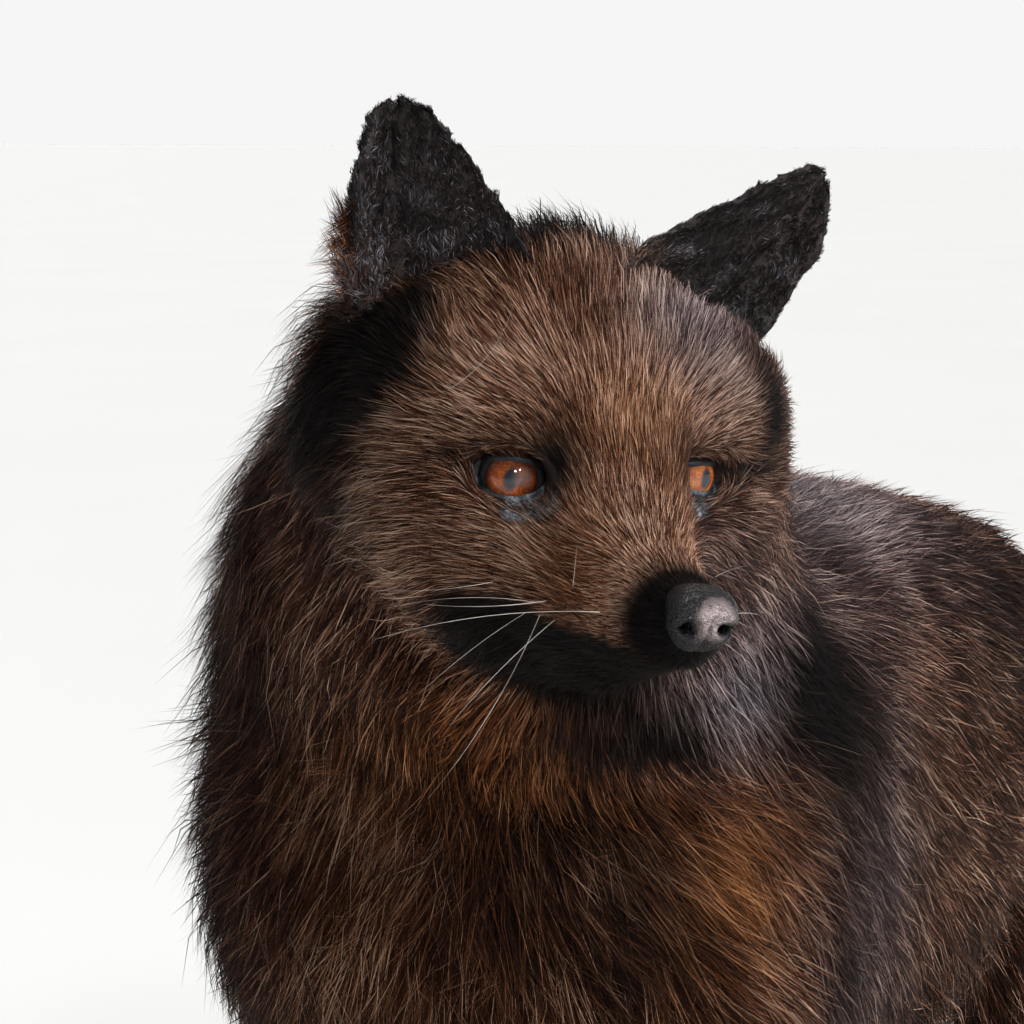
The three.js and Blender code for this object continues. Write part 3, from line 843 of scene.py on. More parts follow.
# %% Leather of the nose
NOSE_LEATHER, tree, shader = new_material("nose leather", Roughness=0.22, Specular_IOR_Level=0.34)
place = object_place(tree)
pebbles = node(tree, "ShaderNodeTexVoronoi", {"Vector": place, "Scale": 1000.0}, feature="DISTANCE_TO_EDGE")
tone = noise(tree, place, 500.0, 5.0, 0.7)
nose_tip = from_head([[77.0, 1.9, -24.8]])[0] * MM
rubbed_place = object_place(tree, location=tuple(-nose_tip))
from_tip = maths(tree, "ADD", length_of(tree, rubbed_place), maths(tree, "MULTIPLY", tone, 0.006))
rubbed = between(tree, from_tip, 0.0094, 0.0068)
black = ramp(tree, tone, (0.35, (0.0025, 0.0025, 0.003)), (0.7, (0.011, 0.011, 0.013)))
pale = ramp(tree, tone, (0.3, (0.06, 0.045, 0.045)), (0.5, (0.24, 0.19, 0.19)), (0.7, (0.52, 0.43, 0.43)))
tree.links.new(mixed(tree, rubbed, black, pale), shader.inputs["Base Color"])
uneven = maths(tree, "ADD", pebbles.outputs["Distance"], maths(tree, "MULTIPLY", tone, 0.9))
bump(tree, shader, uneven, 0.9, 0.0011)
nose = finish_piece(object_from_bmesh("nose_pad", nose_pad(), NOSE_LEATHER), "nose_pad", "nose")
print("nose pad:", len(nose.data.polygons), "faces")

# %% [markdown]
# ## Ears
# An ear is a thin cup of gristle with short velvet on both faces. This mount is old, so the edges
# are ragged and the tips are worn blunt. A grid is bent into the cup in the ear's own axes, z up
# the ear and x the way the cup faces. It runs round the front and the back, so the cup is closed.

# %% Ear axes
EARS = {
    "left": {
        "root": (-44, 42, 40), "tip": (-50, 78, 87), "facing": 34.0, "side": 1,
        "spread": 0.7, "lint_and_sheen": 0.02, "fluff": 0.0,
    },
    "right": {
        "root": (-44, -38, 43), "tip": (-50, -53, 95), "facing": -34.0, "side": -1,
        "spread": 0.18, "lint_and_sheen": 0.1, "fluff": 1.0,
    },
}
EAR_THICK = 3.0


def ear_axes(ear):
    root = np.array(ear["root"], float)
    up = unit(np.array(ear["tip"], float) - root)
    facing = math.radians(ear["facing"])
    across = unit(np.cross(up, [math.cos(facing), math.sin(facing), 0.0]))
    return root, np.stack([np.cross(across, up), across, up], 1)


print("ears' lengths:", {name: round(math.dist(ear["root"], ear["tip"])) for name, ear in EARS.items()})

# %% Ears bent from grids
def ear_sheet(ear):
    root, axes = ear_axes(ear)
    tall = np.linalg.norm(np.array(ear["tip"], float) - root)
    outer = ear["side"]

    def place(u, v):
        turn = 2.0 * np.pi * u
        across, over = np.cos(turn), np.sin(turn)
        up_ear = 1.0 - (1.0 - v) ** 1.4
        inner = 1.0 + ear["spread"] * (1.0 - up_ear) ** 1.5 * (across * outer < 0)
        half = np.interp(up_ear, [0.0, 0.2, 0.42, 0.68, 0.85, 0.92], [23.5, 26.5, 24.0, 18.0, 12.5, 9.5])
        half *= np.sqrt(1.0 - smooth_step(0.0, 1.0, (up_ear - 0.90) / 0.1) ** 2 * 0.96) * inner
        ragged = 0.5 * np.sin(up_ear * 61.0) + 0.35 * np.sin(up_ear * 113.0 + 2.0)
        ragged += 0.4 * np.sin(up_ear * 29.0)
        half += ragged * smooth_step(0.1, 0.3, up_ear) * smooth_step(1.0, 0.9, up_ear) * np.abs(across) ** 3
        z = -14.0 + up_ear * (tall + 13.5) + 0.8 * np.sin(across * 5.0) * up_ear
        y = half * np.sin(across * 1.35) / math.sin(1.35)
        hollow = np.interp(up_ear, [0.0, 0.5, 1.0], [10.0, 7.5, 3.0])
        x = -hollow * np.cos(across * 1.45) + 2.0 + up_ear
        ridge = np.exp(-((across - outer * 0.62) / 0.14) ** 2) * smooth_step(0.08, 0.3, up_ear)
        groove = np.exp(-((across - outer * 0.3) / 0.09) ** 2) * smooth_step(0.08, 0.3, up_ear)
        x += (7.5 * ridge - 2.5 * groove) * (1.0 - smooth_step(0.8, 1.0, up_ear)) * (over > 0)
        x += 0.5 * np.sin(up_ear * 37.0 + across * 9.0) + 0.5 * np.sin(up_ear * 23.0 - across * 14.0)
        x += EAR_THICK / 2.0 * over * (1.0 - 0.8 * smooth_step(0.94, 1.0, up_ear))
        return from_head(root + np.stack([x, y, z], 1) @ axes.T)

    bm = grid_surface(72, 46, place)
    bmesh.ops.holes_fill(bm, edges=[edge for edge in bm.edges if edge.is_boundary])
    bmesh.ops.recalc_face_normals(bm, faces=bm.faces)
    if bm.calc_volume(signed=True) < 0:
        bmesh.ops.reverse_faces(bm, faces=bm.faces)
    return bm


ear_meshes = {}
for name, ear in EARS.items():
    sheet = object_from_bmesh(f"ear_sheet_{name}", ear_sheet(ear))
    ear_meshes[name] = sheet
print("ears:", {name: len(sheet.data.polygons) for name, sheet in ear_meshes.items()})

# %% [markdown]
# ## Which way the hair lies
# Hair grows back from the nose, up between the eyes, out over the cheeks and down the throat. The
# combing is a table of strokes: a place, a reach and a direction. Between strokes the direction is
# blended, laid flat on the skin, and stirred a little so that no two locks are parallel.

# %% Combing strokes
HEAD_LIE = both_sides([
    ((73, 0, -18), 6, (-0.7, 0, 0.7)),
    ((60, 0, -13), 10, (-1, 0, 0.1)),
    ((42, 0, -9), 12, (-1, 0, 0.25)),
    ((24, 0, -1), 11, (-0.9, 0, 0.45)),
    ((10, 0, 12), 11, (-0.6, 0, 0.8)),
    ((-4, 0, 28), 12, (-0.6, 0, 0.8)),
    ((-20, 0, 48), 14, (-0.75, 0, 0.65)),
    ((-44, 0, 64), 16, (-1, 0, 0.35)),
    ((-75, 0, 64), 18, (-1, 0, -0.3)),
    ((-100, 0, 30), 20, (-0.6, 0, -0.8)),
    ((64, 11, -24), 8, (-0.9, 0.5, 0.15)),
    ((46, 16, -24), 10, (-1, 0.3, 0.1)),
    ((28, 20, -20), 10, (-1, 0.35, 0.15)),
    ((14, 14, -2), 7, (-0.75, 0.05, 0.7)),
    ((6, 24, -14), 7, (-0.8, 0.4, 0.45)),
    ((-4, 34, -12), 8, (-0.85, 0.5, 0.1)),
    ((2, 13, 14), 8, (-0.5, 0.25, 0.85)),
    ((-8, 24, 20), 8, (-0.6, 0.65, 0.45)),
    ((-20, 40, 14), 9, (-0.7, 0.7, 0.1)),
    ((-22, 46, -2), 9, (-0.85, 0.5, -0.05)),
    ((-16, 16, 42), 11, (-0.65, 0.4, 0.65)),
    ((-28, 36, 34), 12, (-0.6, 0.55, 0.6)),
    ((-38, 52, 14), 12, (-0.7, 0.65, -0.05)),
    ((-70, 60, 44), 12, (-0.3, 0.85, 0.55)),
    ((-34, 50, 40), 9, (-0.5, 0.2, 0.85)),
    ((-26, 42, 42), 9, (-0.5, 0.3, 0.85)),
    ((34, 20, -34), 10, (-1, 0.3, -0.05)),
    ((16, 27, -34), 10, (-1, 0.4, 0.0)),
    ((0, 38, -28), 10, (-0.9, 0.5, -0.05)),
    ((-18, 50, -20), 12, (-0.85, 0.5, -0.15)),
    ((-36, 60, -20), 14, (-0.75, 0.5, -0.35)),
    ((-56, 66, -24), 16, (-0.65, 0.35, -0.6)),
    ((-80, 56, -20), 18, (-0.6, 0.1, -0.75)),
    ((-30, 48, -52), 14, (-0.7, 0.4, -0.6)),
    ((60, 8, -44), 8, (-1, 0.15, -0.1)),
    ((40, 12, -54), 10, (-1, 0.2, -0.1)),
    ((14, 18, -64), 12, (-1, 0.2, -0.2)),
    ((-12, 26, -68), 14, (-0.8, 0.2, -0.5)),
], directions=True)
BODY_LIE = [
    ((62, -305, 385), 34, (-0.05, -0.05, -1)),
    ((5, -310, 370), 36, (-0.35, -0.1, -1)),
    ((-55, -280, 420), 42, (-0.45, 0.1, -1)),
    ((-70, -200, 450), 46, (-0.35, 0.35, -1)),
    ((100, -250, 385), 32, (0.4, 0.5, -0.75)),
    ((86, -246, 344), 28, (0.6, 0.4, -0.7)),
    ((95, -180, 420), 42, (0.1, 0.85, -0.75)),
    ((10, -150, 470), 46, (0, 0.75, -0.65)),
    ((-5, -300, 300), 42, (-0.15, 0.05, -1)),
    ((72, -255, 305), 30, (0.5, 0.3, -0.85)),
    ((-65, -260, 310), 42, (-0.55, 0.25, -0.9)),
    ((0, -262, 245), 42, (0, 0.3, -1)),
    ((105, -190, 330), 46, (0.1, 0.8, -1.1)),
    ((-105, -190, 330), 46, (-0.1, 0.75, -0.7)),
    ((100, -90, 320), 50, (0, 0.9, -1)),
    ((95, -80, 395), 34, (0, 1, -0.45)),
    ((90, -80, 240), 40, (0, 0.7, -1)),
    ((84, 10, 232), 30, (-0.1, 0.35, -1)),
    ((-100, -90, 330), 60, (0, 1, -0.35)),
    *left_and_right([((60, -80, 425), 50, (-0.05, 1, 0.05))], directions=True),
    ((85, 60, 330), 60, (0, 1, -0.75)),
    ((-85, 60, 330), 60, (0, 1, -0.3)),
    ((0, 90, 395), 60, (0, 1, -0.05)),
    *left_and_right([((70, 170, 330), 46, (0, 0.8, -0.7))], directions=True),
    ((0, -60, 205), 60, (0, 1, -0.15)),
    ((0, 90, 225), 55, (0, 1, -0.1)),
    *left_and_right([
        ((62, -140, 230), 34, (0.05, 0.5, -1)),
        ((52, -145, 140), 46, (0, 0.1, -1)),
        ((60, 130, 240), 42, (0.05, 0.55, -0.9)),
        ((52, 160, 150), 40, (0, 0.45, -0.9)),
        ((48, 182, 80), 36, (0, -0.1, -1)),
        ((50, -175, 38), 20, (0, -1, -0.35)),
        ((48, 145, 38), 20, (0, -1, -0.35)),
    ], directions=True),
    ((0, 225, 330), 32, (0, 0.9, -0.5)),
    ((0, 290, 262), 40, (0, 0.6, -0.8)),
    ((0, 330, 200), 42, (0, 0.7, -0.7)),
    ((0, 390, 165), 44, (0, 0.92, -0.35)),
    ((0, 470, 147), 44, (0, 1, -0.1)),
    ((0, 530, 143), 34, (0, 1, 0)),
]


print("strokes:", len(HEAD_LIE), "on the head,", len(BODY_LIE), "on the body")

# %% Lie of the hair
def lie_of(points, normals):
    share = head_share(points)[:, None]
    lie = share * turned_with_head(blended(to_head(points), HEAD_LIE))
    lie += (1.0 - share) * blended(points, BODY_LIE)
    lie -= normals * (lie * normals).sum(1)[:, None]
    return unit(lie)


TAIL_END = np.array([[0.0, 530.0, 170.0]])
print("on the tail's end the hair points", lie_of(TAIL_END, np.eye(3)[2:])[0].round(2))

# %% [markdown]
# ## Markings
# A coat's colour changes from place to place, and could be painted on a map. Three masks do it here
# without one: they say where the coat is rusty, where it is black or darkened by painted shade, and
# where it is grey or lit by painted sheen. Each is a sum of soft spots, cut off at 1, and the jaw's
# black has a crisp edge of its own.

# %% Markings
RUST_SPOTS = [
    ("body", (64, -288, 378), (35, 34, 12), 2.0),
    ("body", (88, -244, 344), (17, 22, 26), 1.4),
    ("body", (30, -300, 325), (26, 30, 40), 0.6),
    ("body", (-20, -290, 330), (26, 30, 40), 0.3),
    ("head", (-68, -60, 50), (12, 10, 14), 1.6),
    ("head", (-38, -36, 56), (6, 6, 7), 0.8),
    ("head", (8, 4, 10), (14, 10, 12), 0.45),
    ("head", (34, -18, -20), (16, 8, 9), 0.45),
    ("body", (60, 60, 400), (60, 60, 50), 0.15),
    ("body", (100, -60, 370), (14, 30, 12), 0.4),
]
BLACK_AND_SHADE_SPOTS = [
    ("head", (69, 0, -26), (8.5, 12, 11.5), 2.8),
    ("head", (-42, 58, 24), (13, 12, 17), 1.5),
    ("head", (-4, 50, 20), (8, 8, 14), 1.2),
    ("head", (-31, -52, 37), (7, 7.5, 12), 2.2),
    ("head", (-33, -41, 50), (6, 8, 7), 1.3),
    ("head", (-40, -60, -8), (22, 16, 24), 0.55),
    ("head", (-27, -54, 22), (7, 7, 8), 1.8),
    ("head", (-45, -62, 22), (12, 12, 12), 1.8),
    ("head", (-62, -66, 12), (10, 14, 8), 1.2),
    ("head", (-38, -4, 56), (9, 26, 8), 1.5),
    # Partly dark fur, partly painted shade in the hollow between each eye's inner corner and the bridge of
    # the nose.
    ("head", (14, -20, 2), (5.5, 5, 6.5), 1.6),
    ("head", (14, 19, 4), (5, 4.5, 7), 0.9),
    # Painted shade in the fold at each eye's outer corner.
    ("head", (2, -34, 0.8), (5, 5, 1.5), 2.0),
    ("head", (-4, -38.5, 2), (4.5, 5, 1.5), 1.8),
    ("head", (-7, 43, 4), (8, 6, 1.6), 0.6),
    # Painted shade on the near cheek, the side turned from the key lamp.
    ("head", (-44, -62, -20), (14, 14, 14), 0.3),
    ("body", (104, -180, 380), (20, 30, 24), 1.3),
    ("body", (98, -186, 405), (18, 26, 16), 0.9),
    ("body", (78, 60, 372), (30, 44, 24), 0.9),
    ("body", (-60, -285, 400), (34, 40, 50), 0.4),
    # Painted shadow in the parting between the ruff and the shoulder.
    ("body", (57, -262, 305), (6, 22, 36), 1.0),
    ("body", (105, -180, 300), (14, 18, 26), 0.6),
    ("body", (48, -290, 345), (40, 26, 8), 1.0),
    ("body", (-95, -235, 360), (34, 55, 80), 0.75),
    *[("body", (x, -150, 90), (40, 50, 80), 1.6) for x in (52, -52)],
    *[("body", (x, 165, 85), (40, 50, 75), 1.6) for x in (50, -50)],
    ("body", (0, 400, 160), (70, 90, 60), 0.45),
]
# Most of the grey is painted sheen where the key lamp glances off the coat: beside the jaw, on the flank
# and on the far side of the face. On the top of the back it is partly paler fur and partly painted light.
# The last spot greys the tail's end.
SHEEN_AND_GREY_SPOTS = [
    ("body", (102, -248, 392), (22, 26, 19), 0.85),
    ("body", (104, -150, 320), (14, 40, 50), 0.5),
    ("body", (60, -60, 425), (50, 110, 30), 0.8),
    ("head", (-16, 28, 36), (16, 14, 14), 0.65),
    ("head", (6, 38, -22), (14, 10, 12), 0.35),
    ("body", (0, 536, 143), (40, 16, 40), 1.0),
]


print("spots of rust, black and grey:", len(RUST_SPOTS), len(BLACK_AND_SHADE_SPOTS), len(SHEEN_AND_GREY_SPOTS))

# %% Marks at any place
def mask_of(points, on_head, spots):
    total = np.zeros(len(points))
    for where, place, reach, strength in spots:
        away = (((on_head if where == "head" else points) - place) / np.asarray(reach, float)) ** 2
        total += strength * np.exp(-0.5 * away.sum(1))
    return np.clip(total, 0.0, 1.0)


def jaw_mask(on_head):
    """1 on the lower jaw, with a crisp edge along the upper lip and at the throat."""
    x, y, z = on_head.T
    edge = -32.0 + 0.8 * np.sin(x * 0.9) - 2.5 * smooth_step(8, 28, x) - 2.5 * smooth_step(52, 66, x)
    behind = x - (-18.0 + (z + 36.0) * 0.84)
    return smooth_step(0.0, 1.6, edge - z) * smooth_step(-2.0, 5.0, behind) * smooth_step(-82.0, -75.0, z)


def marks_of(points):
    """Rust, black with painted shade, and grey with painted sheen, each from 0 to 1."""
    on_head = to_head(points)
    tables = (RUST_SPOTS, BLACK_AND_SHADE_SPOTS, SHEEN_AND_GREY_SPOTS)
    marks = np.stack([mask_of(points, on_head, spots) for spots in tables], 1)
    marks[:, 1] = np.maximum(marks[:, 1], jaw_mask(on_head))
    return marks


def set_hair_values(mesh, along, tuft, marks):
    """The three things the hair material reads, stored on every vertex."""
    for name, values in (("along", along), ("tuft", tuft)):
        layer = mesh.attributes.new(name, "FLOAT", "POINT")
        layer.data.foreach_set("value", np.asarray(values, np.float32).ravel())
    layer = mesh.attributes.new("mark", "FLOAT_COLOR", "POINT")
    colour = np.ones((len(marks), 4), np.float32)
    colour[:, :3] = marks
    layer.data.foreach_set("color", colour.ravel())


print("marks on the nose tip:", marks_of(from_head([[70, 0, -26]]))[0].round(2))

# %% [markdown]
# ## Growing the tufts
# A tuft could be a hair curve, but curves are lost when the model is passed on, so it is solid
# mesh: one flat tapering blade of two or three short pieces. It leaves the skin at its root, leans
# by its angle, follows the curve of the body, and is pulled toward the nearest guide tuft so that
# tips gather in locks. All of it is worked out for a whole region at once with arrays, because a
# loop over four hundred thousand tufts would take minutes.

# %% Surfaces that grow hair
random = np.random.default_rng(11)
LOOK_AHEAD = 0.6


def nearest(tree_points, points):
    tree = KDTree(len(tree_points))
    for i, point in enumerate(tree_points.tolist()):
        tree.insert(point, i)
    tree.balance()
    return np.array([tree.find(point)[1] for point in points.tolist()], int)


def surface_of(mesh, coat, marks, lie=None):
    points, normals = mesh_points(mesh), mesh_normals(mesh)
    lie = lie_of(points, normals) if lie is None else lie
    ahead_by = np.maximum(coat[:, 0], 4.0) * LOOK_AHEAD
    ahead = nearest(points, points + lie * ahead_by[:, None])
    bend = ((normals[ahead] - normals) * lie).sum(1) / ahead_by
    swirl = ((lie[ahead] - lie) * np.cross(normals, lie)).sum(1) / ahead_by
    return {
        "points": points, "normals": normals, "lie": lie, "coat": coat, "marks": marks,
        "turns": np.stack([np.clip(bend, -0.015, 0.03), np.clip(swirl, -0.03, 0.03)], 1),
        "triangles": mesh_triangles(mesh),
    }


print("each place looks", LOOK_AHEAD, "of its hair's length ahead, to see how the body turns")

# %% Roots
def scattered(surface, weight):
    """Roots spread over the surface, as a triangle and three shares of its corners for each."""
    corners = surface["points"][surface["triangles"]]
    sides = corners[:, 1] - corners[:, 0], corners[:, 2] - corners[:, 0]
    area = np.linalg.norm(np.cross(*sides), axis=1) / 2
    wanted = area * weight[surface["triangles"]].mean(1)
    count = np.floor(wanted + random.random(len(wanted))).astype(int)
    chosen = np.repeat(np.arange(len(count)), count)
    first, second = random.random((2, len(chosen)))
    over = first + second > 1.0
    first[over], second[over] = 1.0 - first[over], 1.0 - second[over]
    return chosen, np.stack([1.0 - first - second, first, second], 1)


def carried(surface, name, chosen, shares):
    values = surface[name][surface["triangles"][chosen]]
    return (values * shares[:, :, None]).sum(1)


print("roots will fall on", len(mesh_triangles(skin.data)), "triangles of skin")

# %% Paths of the tufts
def wandering(points, size, seed):
    """A soft random number, from -1 to 1, that changes over about size mm."""
    waves = np.random.default_rng(seed)
    total = np.zeros(len(points))
    for _ in range(6):
        direction = unit(waves.normal(size=3))
        step = 2.0 * np.pi / (size * waves.uniform(0.7, 1.6))
        total += np.sin(points @ direction * step + waves.uniform(0, 6.28))
    return total / 2.6


LENGTH_SPREAD, SHORTEST, LONGEST = 0.25, 0.45, 1.35
LIFT_SPREAD, FLATTEST, STEEPEST = 0.35, 0.2, 1.9
SLOW_DRIFT, QUICK_DRIFT = 34.0, 12.0  # mm, over which the combing wanders


def paths(roots, normals, lie, turns, coat, pieces, wild, stir):
    """Each tuft's points from root to tip."""
    count = len(roots)
    length, lift = coat[:, 0], np.radians(coat[:, 1])
    length = length * (1.0 + LENGTH_SPREAD * random.normal(size=count)).clip(SHORTEST, LONGEST)
    length *= 1.0 + 0.12 * wandering(roots, 26.0, 5)
    lift = lift * (1.0 + LIFT_SPREAD * random.normal(size=count)).clip(FLATTEST, STEEPEST)
    stray = np.radians(7.0 + stir + 60.0 * wild) * random.normal(size=count)
    drift = np.radians(9.0) * wandering(roots, SLOW_DRIFT, 7)
    stray += drift + np.radians(6.0 + stir) * wandering(roots, QUICK_DRIFT, 9)
    side = np.cross(normals, lie)
    lie = unit(lie * np.cos(stray)[:, None] + side * np.sin(stray)[:, None])
    side = np.cross(normals, lie)
    curl = turns[:, 1] + 0.004 * random.normal(size=count) + 0.4 * wild * random.normal(size=count)
    out = [roots]
    for step in range(pieces):
        middle = (step + 0.5) / pieces
        gone = length * middle
        along = lie - normals * (turns[:, 0] * gone)[:, None] + side * (curl * gone)[:, None]
        rise = lift * (1.25 - 0.85 * middle)
        over = unit(normals + lie * (turns[:, 0] * gone)[:, None])
        way = unit(along) * np.cos(rise)[:, None] + over * np.sin(rise)[:, None]
        out.append(out[-1] + way * (length / pieces)[:, None])
    return np.stack(out, 1)


print("a soft random number:", wandering(np.zeros((1, 3)), 26.0, 5)[0].round(2))

# %% Tufts in locks
# Most tufts are dark: a random share is raised to a power, and paler places take a smaller one.
DARK_POWER = 2.2


def paler(roots, rust):
    """How much smaller that power is on the face, the back and the rusty places."""
    at = to_head(roots)
    # The top of the back is paler partly for its fur and partly as painted light from the key lamp above.
    on_back = smooth_step(375.0, 420.0, roots[:, 2]) * smooth_step(-170.0, -110.0, roots[:, 1])
    on_face = head_share(roots) * smooth_step(-66.0, -36.0, at[:, 0])
    muzzle_side = smooth_step(5.0, 30.0, at[:, 0]) * smooth_step(6.0, 14.0, np.abs(at[:, 1]))
    pale = 1.4 * on_face + 1.55 * on_back + 0.4 * on_face * muzzle_side
    return pale + 0.9 * rust * (1.0 - on_face)


def tufts(surface, weight, pieces, wild=0.0, stir=0.0, lock_size=14):
    """Tufts over a surface; wild ruffles them, stir turns them, and lock_size of them make a lock."""
    chosen, shares = scattered(surface, weight)
    kept = ("points", "normals", "lie", "turns", "coat", "marks")
    values = {name: carried(surface, name, chosen, shares) for name in kept}
    roots, normals = values["points"], unit(values["normals"])
    lie = unit(values["lie"])
    spine = paths(roots, normals, lie, values["turns"], values["coat"], pieces, wild, stir)
    guides = random.choice(len(roots), max(1, len(roots) // lock_size), replace=False)
    leader = guides[nearest(roots[guides], roots)]
    pull = values["coat"][:, 5] * random.uniform(0.4, 1.2, len(roots))
    for step in range(1, pieces + 1):
        share = (pull * (step / pieces) ** 1.4)[:, None]
        spine[:, step] += share * (spine[leader, step] - spine[:, step])
    width = values["coat"][:, 2] * random.uniform(0.7, 1.3, len(roots))
    tuft = random.random(len(roots)) ** (DARK_POWER - paler(roots, values["marks"][:, 0]))
    return {
        "spine": spine, "normals": normals, "width": width, "marks": values["marks"],
        "tuft": tuft, "fade": 1.0 + 0.9 * (1.0 - head_share(roots)),
    }


print("share of tufts darker than the middle:", round(0.5 ** (1.0 / DARK_POWER), 2))

# %% [markdown]
# ## Blades
# Each path becomes a strip of triangles that narrows to a point, turned a little about its own
# length so that the light catches it unevenly. Each blade also gets a small patch of a map, at its
# root's place on an unwrap of the skin, so that hairs that grow together lie together on the map.

# %% Blades from the paths
WIDTHS = {2: (0.85, 0.75), 3: (0.8, 1.0, 0.62)}  # at the start of each piece
FACES = {
    2: ((0, 1, 3), (0, 3, 2), (2, 3, 4)),
    3: ((0, 1, 3), (0, 3, 2), (2, 3, 5), (2, 5, 4), (4, 5, 6)),
}
PATCH = 0.003  # a blade's share of the map's side


def blades(name, hair, unwrap, material):
    """One mesh of flat tapering blades, with a map that gives each blade a small patch."""
    spine, pieces = hair["spine"], hair["spine"].shape[1] - 1
    count, corners = len(spine), 2 * pieces + 1
    points = np.empty((count, corners, 3))
    twist = np.radians(32.0) * random.normal(size=count)
    for step in range(pieces):
        way = unit(spine[:, step + 1] - spine[:, step])
        flat = unit(np.cross(way, hair["normals"]))
        up = np.cross(flat, way)
        across = flat * np.cos(twist)[:, None] + up * np.sin(twist)[:, None]
        reach = across * (hair["width"] * WIDTHS[pieces][step] / 2.0)[:, None]
        points[:, 2 * step] = spine[:, step] - reach
        points[:, 2 * step + 1] = spine[:, step] + reach
    points[:, -1] = spine[:, -1]
    faces = np.array(FACES[pieces])
    corner_of = (np.arange(count)[:, None, None] * corners + faces[None]).reshape(-1)
    mesh = bpy.data.meshes.new(name)
    mesh.vertices.add(count * corners)
    mesh.vertices.foreach_set("co", (points * MM).ravel())
    mesh.loops.add(len(corner_of))
    mesh.loops.foreach_set("vertex_index", corner_of.astype(np.int32))
    mesh.polygons.add(len(corner_of) // 3)
    mesh.polygons.foreach_set("loop_start", np.arange(0, len(corner_of), 3, dtype=np.int32))
    mesh.update(calc_edges=True)
    layer = mesh.attributes.new("across", "FLOAT", "POINT")
    layer.data.foreach_set("value", np.tile([-1.0, 1.0] * pieces + [0.0], count).astype(np.float32))
    along = np.array([step / pieces for step in range(pieces) for _ in range(2)] + [1.0])
    across = np.array([-1.0, 1.0] * pieces + [0.0])
    tuft, marks = (np.repeat(hair[key], corners, axis=0) for key in ("tuft", "marks"))
    set_hair_values(mesh, along ** hair["fade"][:, None], tuft, marks)
    centre = np.clip(unwrap(spine[:, 0]), PATCH, 1.0 - PATCH)
    patch = np.stack([across, along * 2.0 - 1.0], 1) * (PATCH / 2.0)
    places = (centre[:, None] + patch[None]).reshape(-1, 2)
    mesh.uv_layers.new(name="OFBake")
    mesh.uv_layers["OFBake"].data.foreach_set("uv", places[corner_of].astype(np.float32).ravel())
    obj = new_object(name, mesh, material)
    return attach(obj, "root")


print("triangles in a blade:", {pieces: len(faces) for pieces, faces in FACES.items()})

# %% Unwraps, and hair shared out to pieces
def around(start, end, in_head=False):
    """An unwrap of skin about the line from start to end: the turn about it, and the way along it."""
    start = np.array(start, float)
    line = np.array(end, float) - start
    long = np.linalg.norm(line)
    line /= long
    first = unit(np.cross(line, [0.0, 0.31, 0.95] if abs(line[2]) < 0.8 else [0.0, 1.0, 0.0]))
    second = np.cross(line, first)

    def unwrap(points):
        away = (to_head(points) if in_head else points) - start
        turn = np.arctan2(away @ second, away @ first) / (2.0 * np.pi) + 0.5
        return np.stack([turn, away @ line / long], 1)

    return unwrap


BLADES_IN_A_PIECE = {2: 64350, 3: 39000}  # which keeps a piece under 200,000 triangles


def grown(name, hair, unwrap, material):
    """The hair as so many meshes that none is too big, taken in order along the unwrap."""
    order = np.argsort(unwrap(hair["spine"][:, 0])[:, 1])
    per_piece = BLADES_IN_A_PIECE[hair["spine"].shape[1] - 1]
    parts = np.array_split(order, max(1, math.ceil(len(order) / per_piece)))
    for i, part in enumerate(parts):
        share = {key: values[part] for key, values in hair.items()}
        blades(f"{name}_{i + 1}" if len(parts) > 1 else name, share, unwrap, material)
    triangles = len(order) * (2 * hair["spine"].shape[1] - 3)
    print(name, len(order), "tufts", triangles, "triangles in", len(parts))
    return triangles


print("most blades in a piece:", BLADES_IN_A_PIECE)

# %% [markdown]
# ## The coat
# The face has many short fine blades, and the body has fewer and longer ones. Two pieces are enough
# for most of them. The back of the head and the tail, where the hair bends most, have three. Round
# the eyes and on the nose the skin stays almost bare.

# %% Where hair may grow
THIN = 1.0
points = mesh_points(skin.data)
on_head = to_head(points)
coat = over_body(points, HEAD_COAT, BODY_COAT)
body = surface_of(skin.data, coat, marks_of(points))


def bare(head_points):
    """1 where hair may grow, 0 on the lids and the nose."""
    keep = np.ones(len(head_points))
    for name in EYES:
        g, s, u = in_eye(name, head_points).T
        spread = np.minimum(np.hypot(s / 12.0, u / 6.1), np.hypot((s + 7.5) / 9.8, (u + 5.8) / 8.5))
        opening = np.hypot(s / (OPENING["half_long"] + 1.5), u / (OPENING["under"] + 1.2))
        sparse = np.where(opening > 1.0, 0.16, 0.0)
        keep *= np.where(g > -8, np.maximum(smooth_step(0.86, 1.1, spread), sparse), 1.0)
    pad = (head_points - (73, 1.0, -26.5)) / (9.0, 8.9, 8.9)
    keep *= smooth_step(0.8, 1.05, np.linalg.norm(pad, axis=1))
    return keep


def under_lids(head_points):
    """1 in the hollows that the lids cover, where the skin's own hair would stay hidden."""
    hidden = np.zeros(len(head_points))
    for name in EYES:
        g, s, u = in_eye(name, head_points).T
        hidden = np.maximum(hidden, (g > -8) & (np.hypot(s / SOCKET[0], u / SOCKET[1]) < 0.97))
    return hidden


weight = coat[:, 3] * bare(on_head) * (1.0 - under_lids(on_head)) * THIN
print("hairs to a square millimetre, at most:", weight.max().round(2))

# %% The head's coat
share = head_share(points)
face_front = share * smooth_step(-52.0, -44.0, on_head[:, 0]) * (coat[:, 0] < 16)
face_line = around((-60, 0, -10), (80, 0, -20), True)
head_line = around((-120, 0, 0), (70, 0, -20), True)
total = grown("coat_face", tufts(body, weight * face_front, 2), face_line, HAIR)
rest_of_head = share * (1.0 - face_front)
total += grown("coat_head", tufts(body, weight * rest_of_head, 3, stir=4.0), head_line, HAIR)
print("head's coat:", total, "triangles")

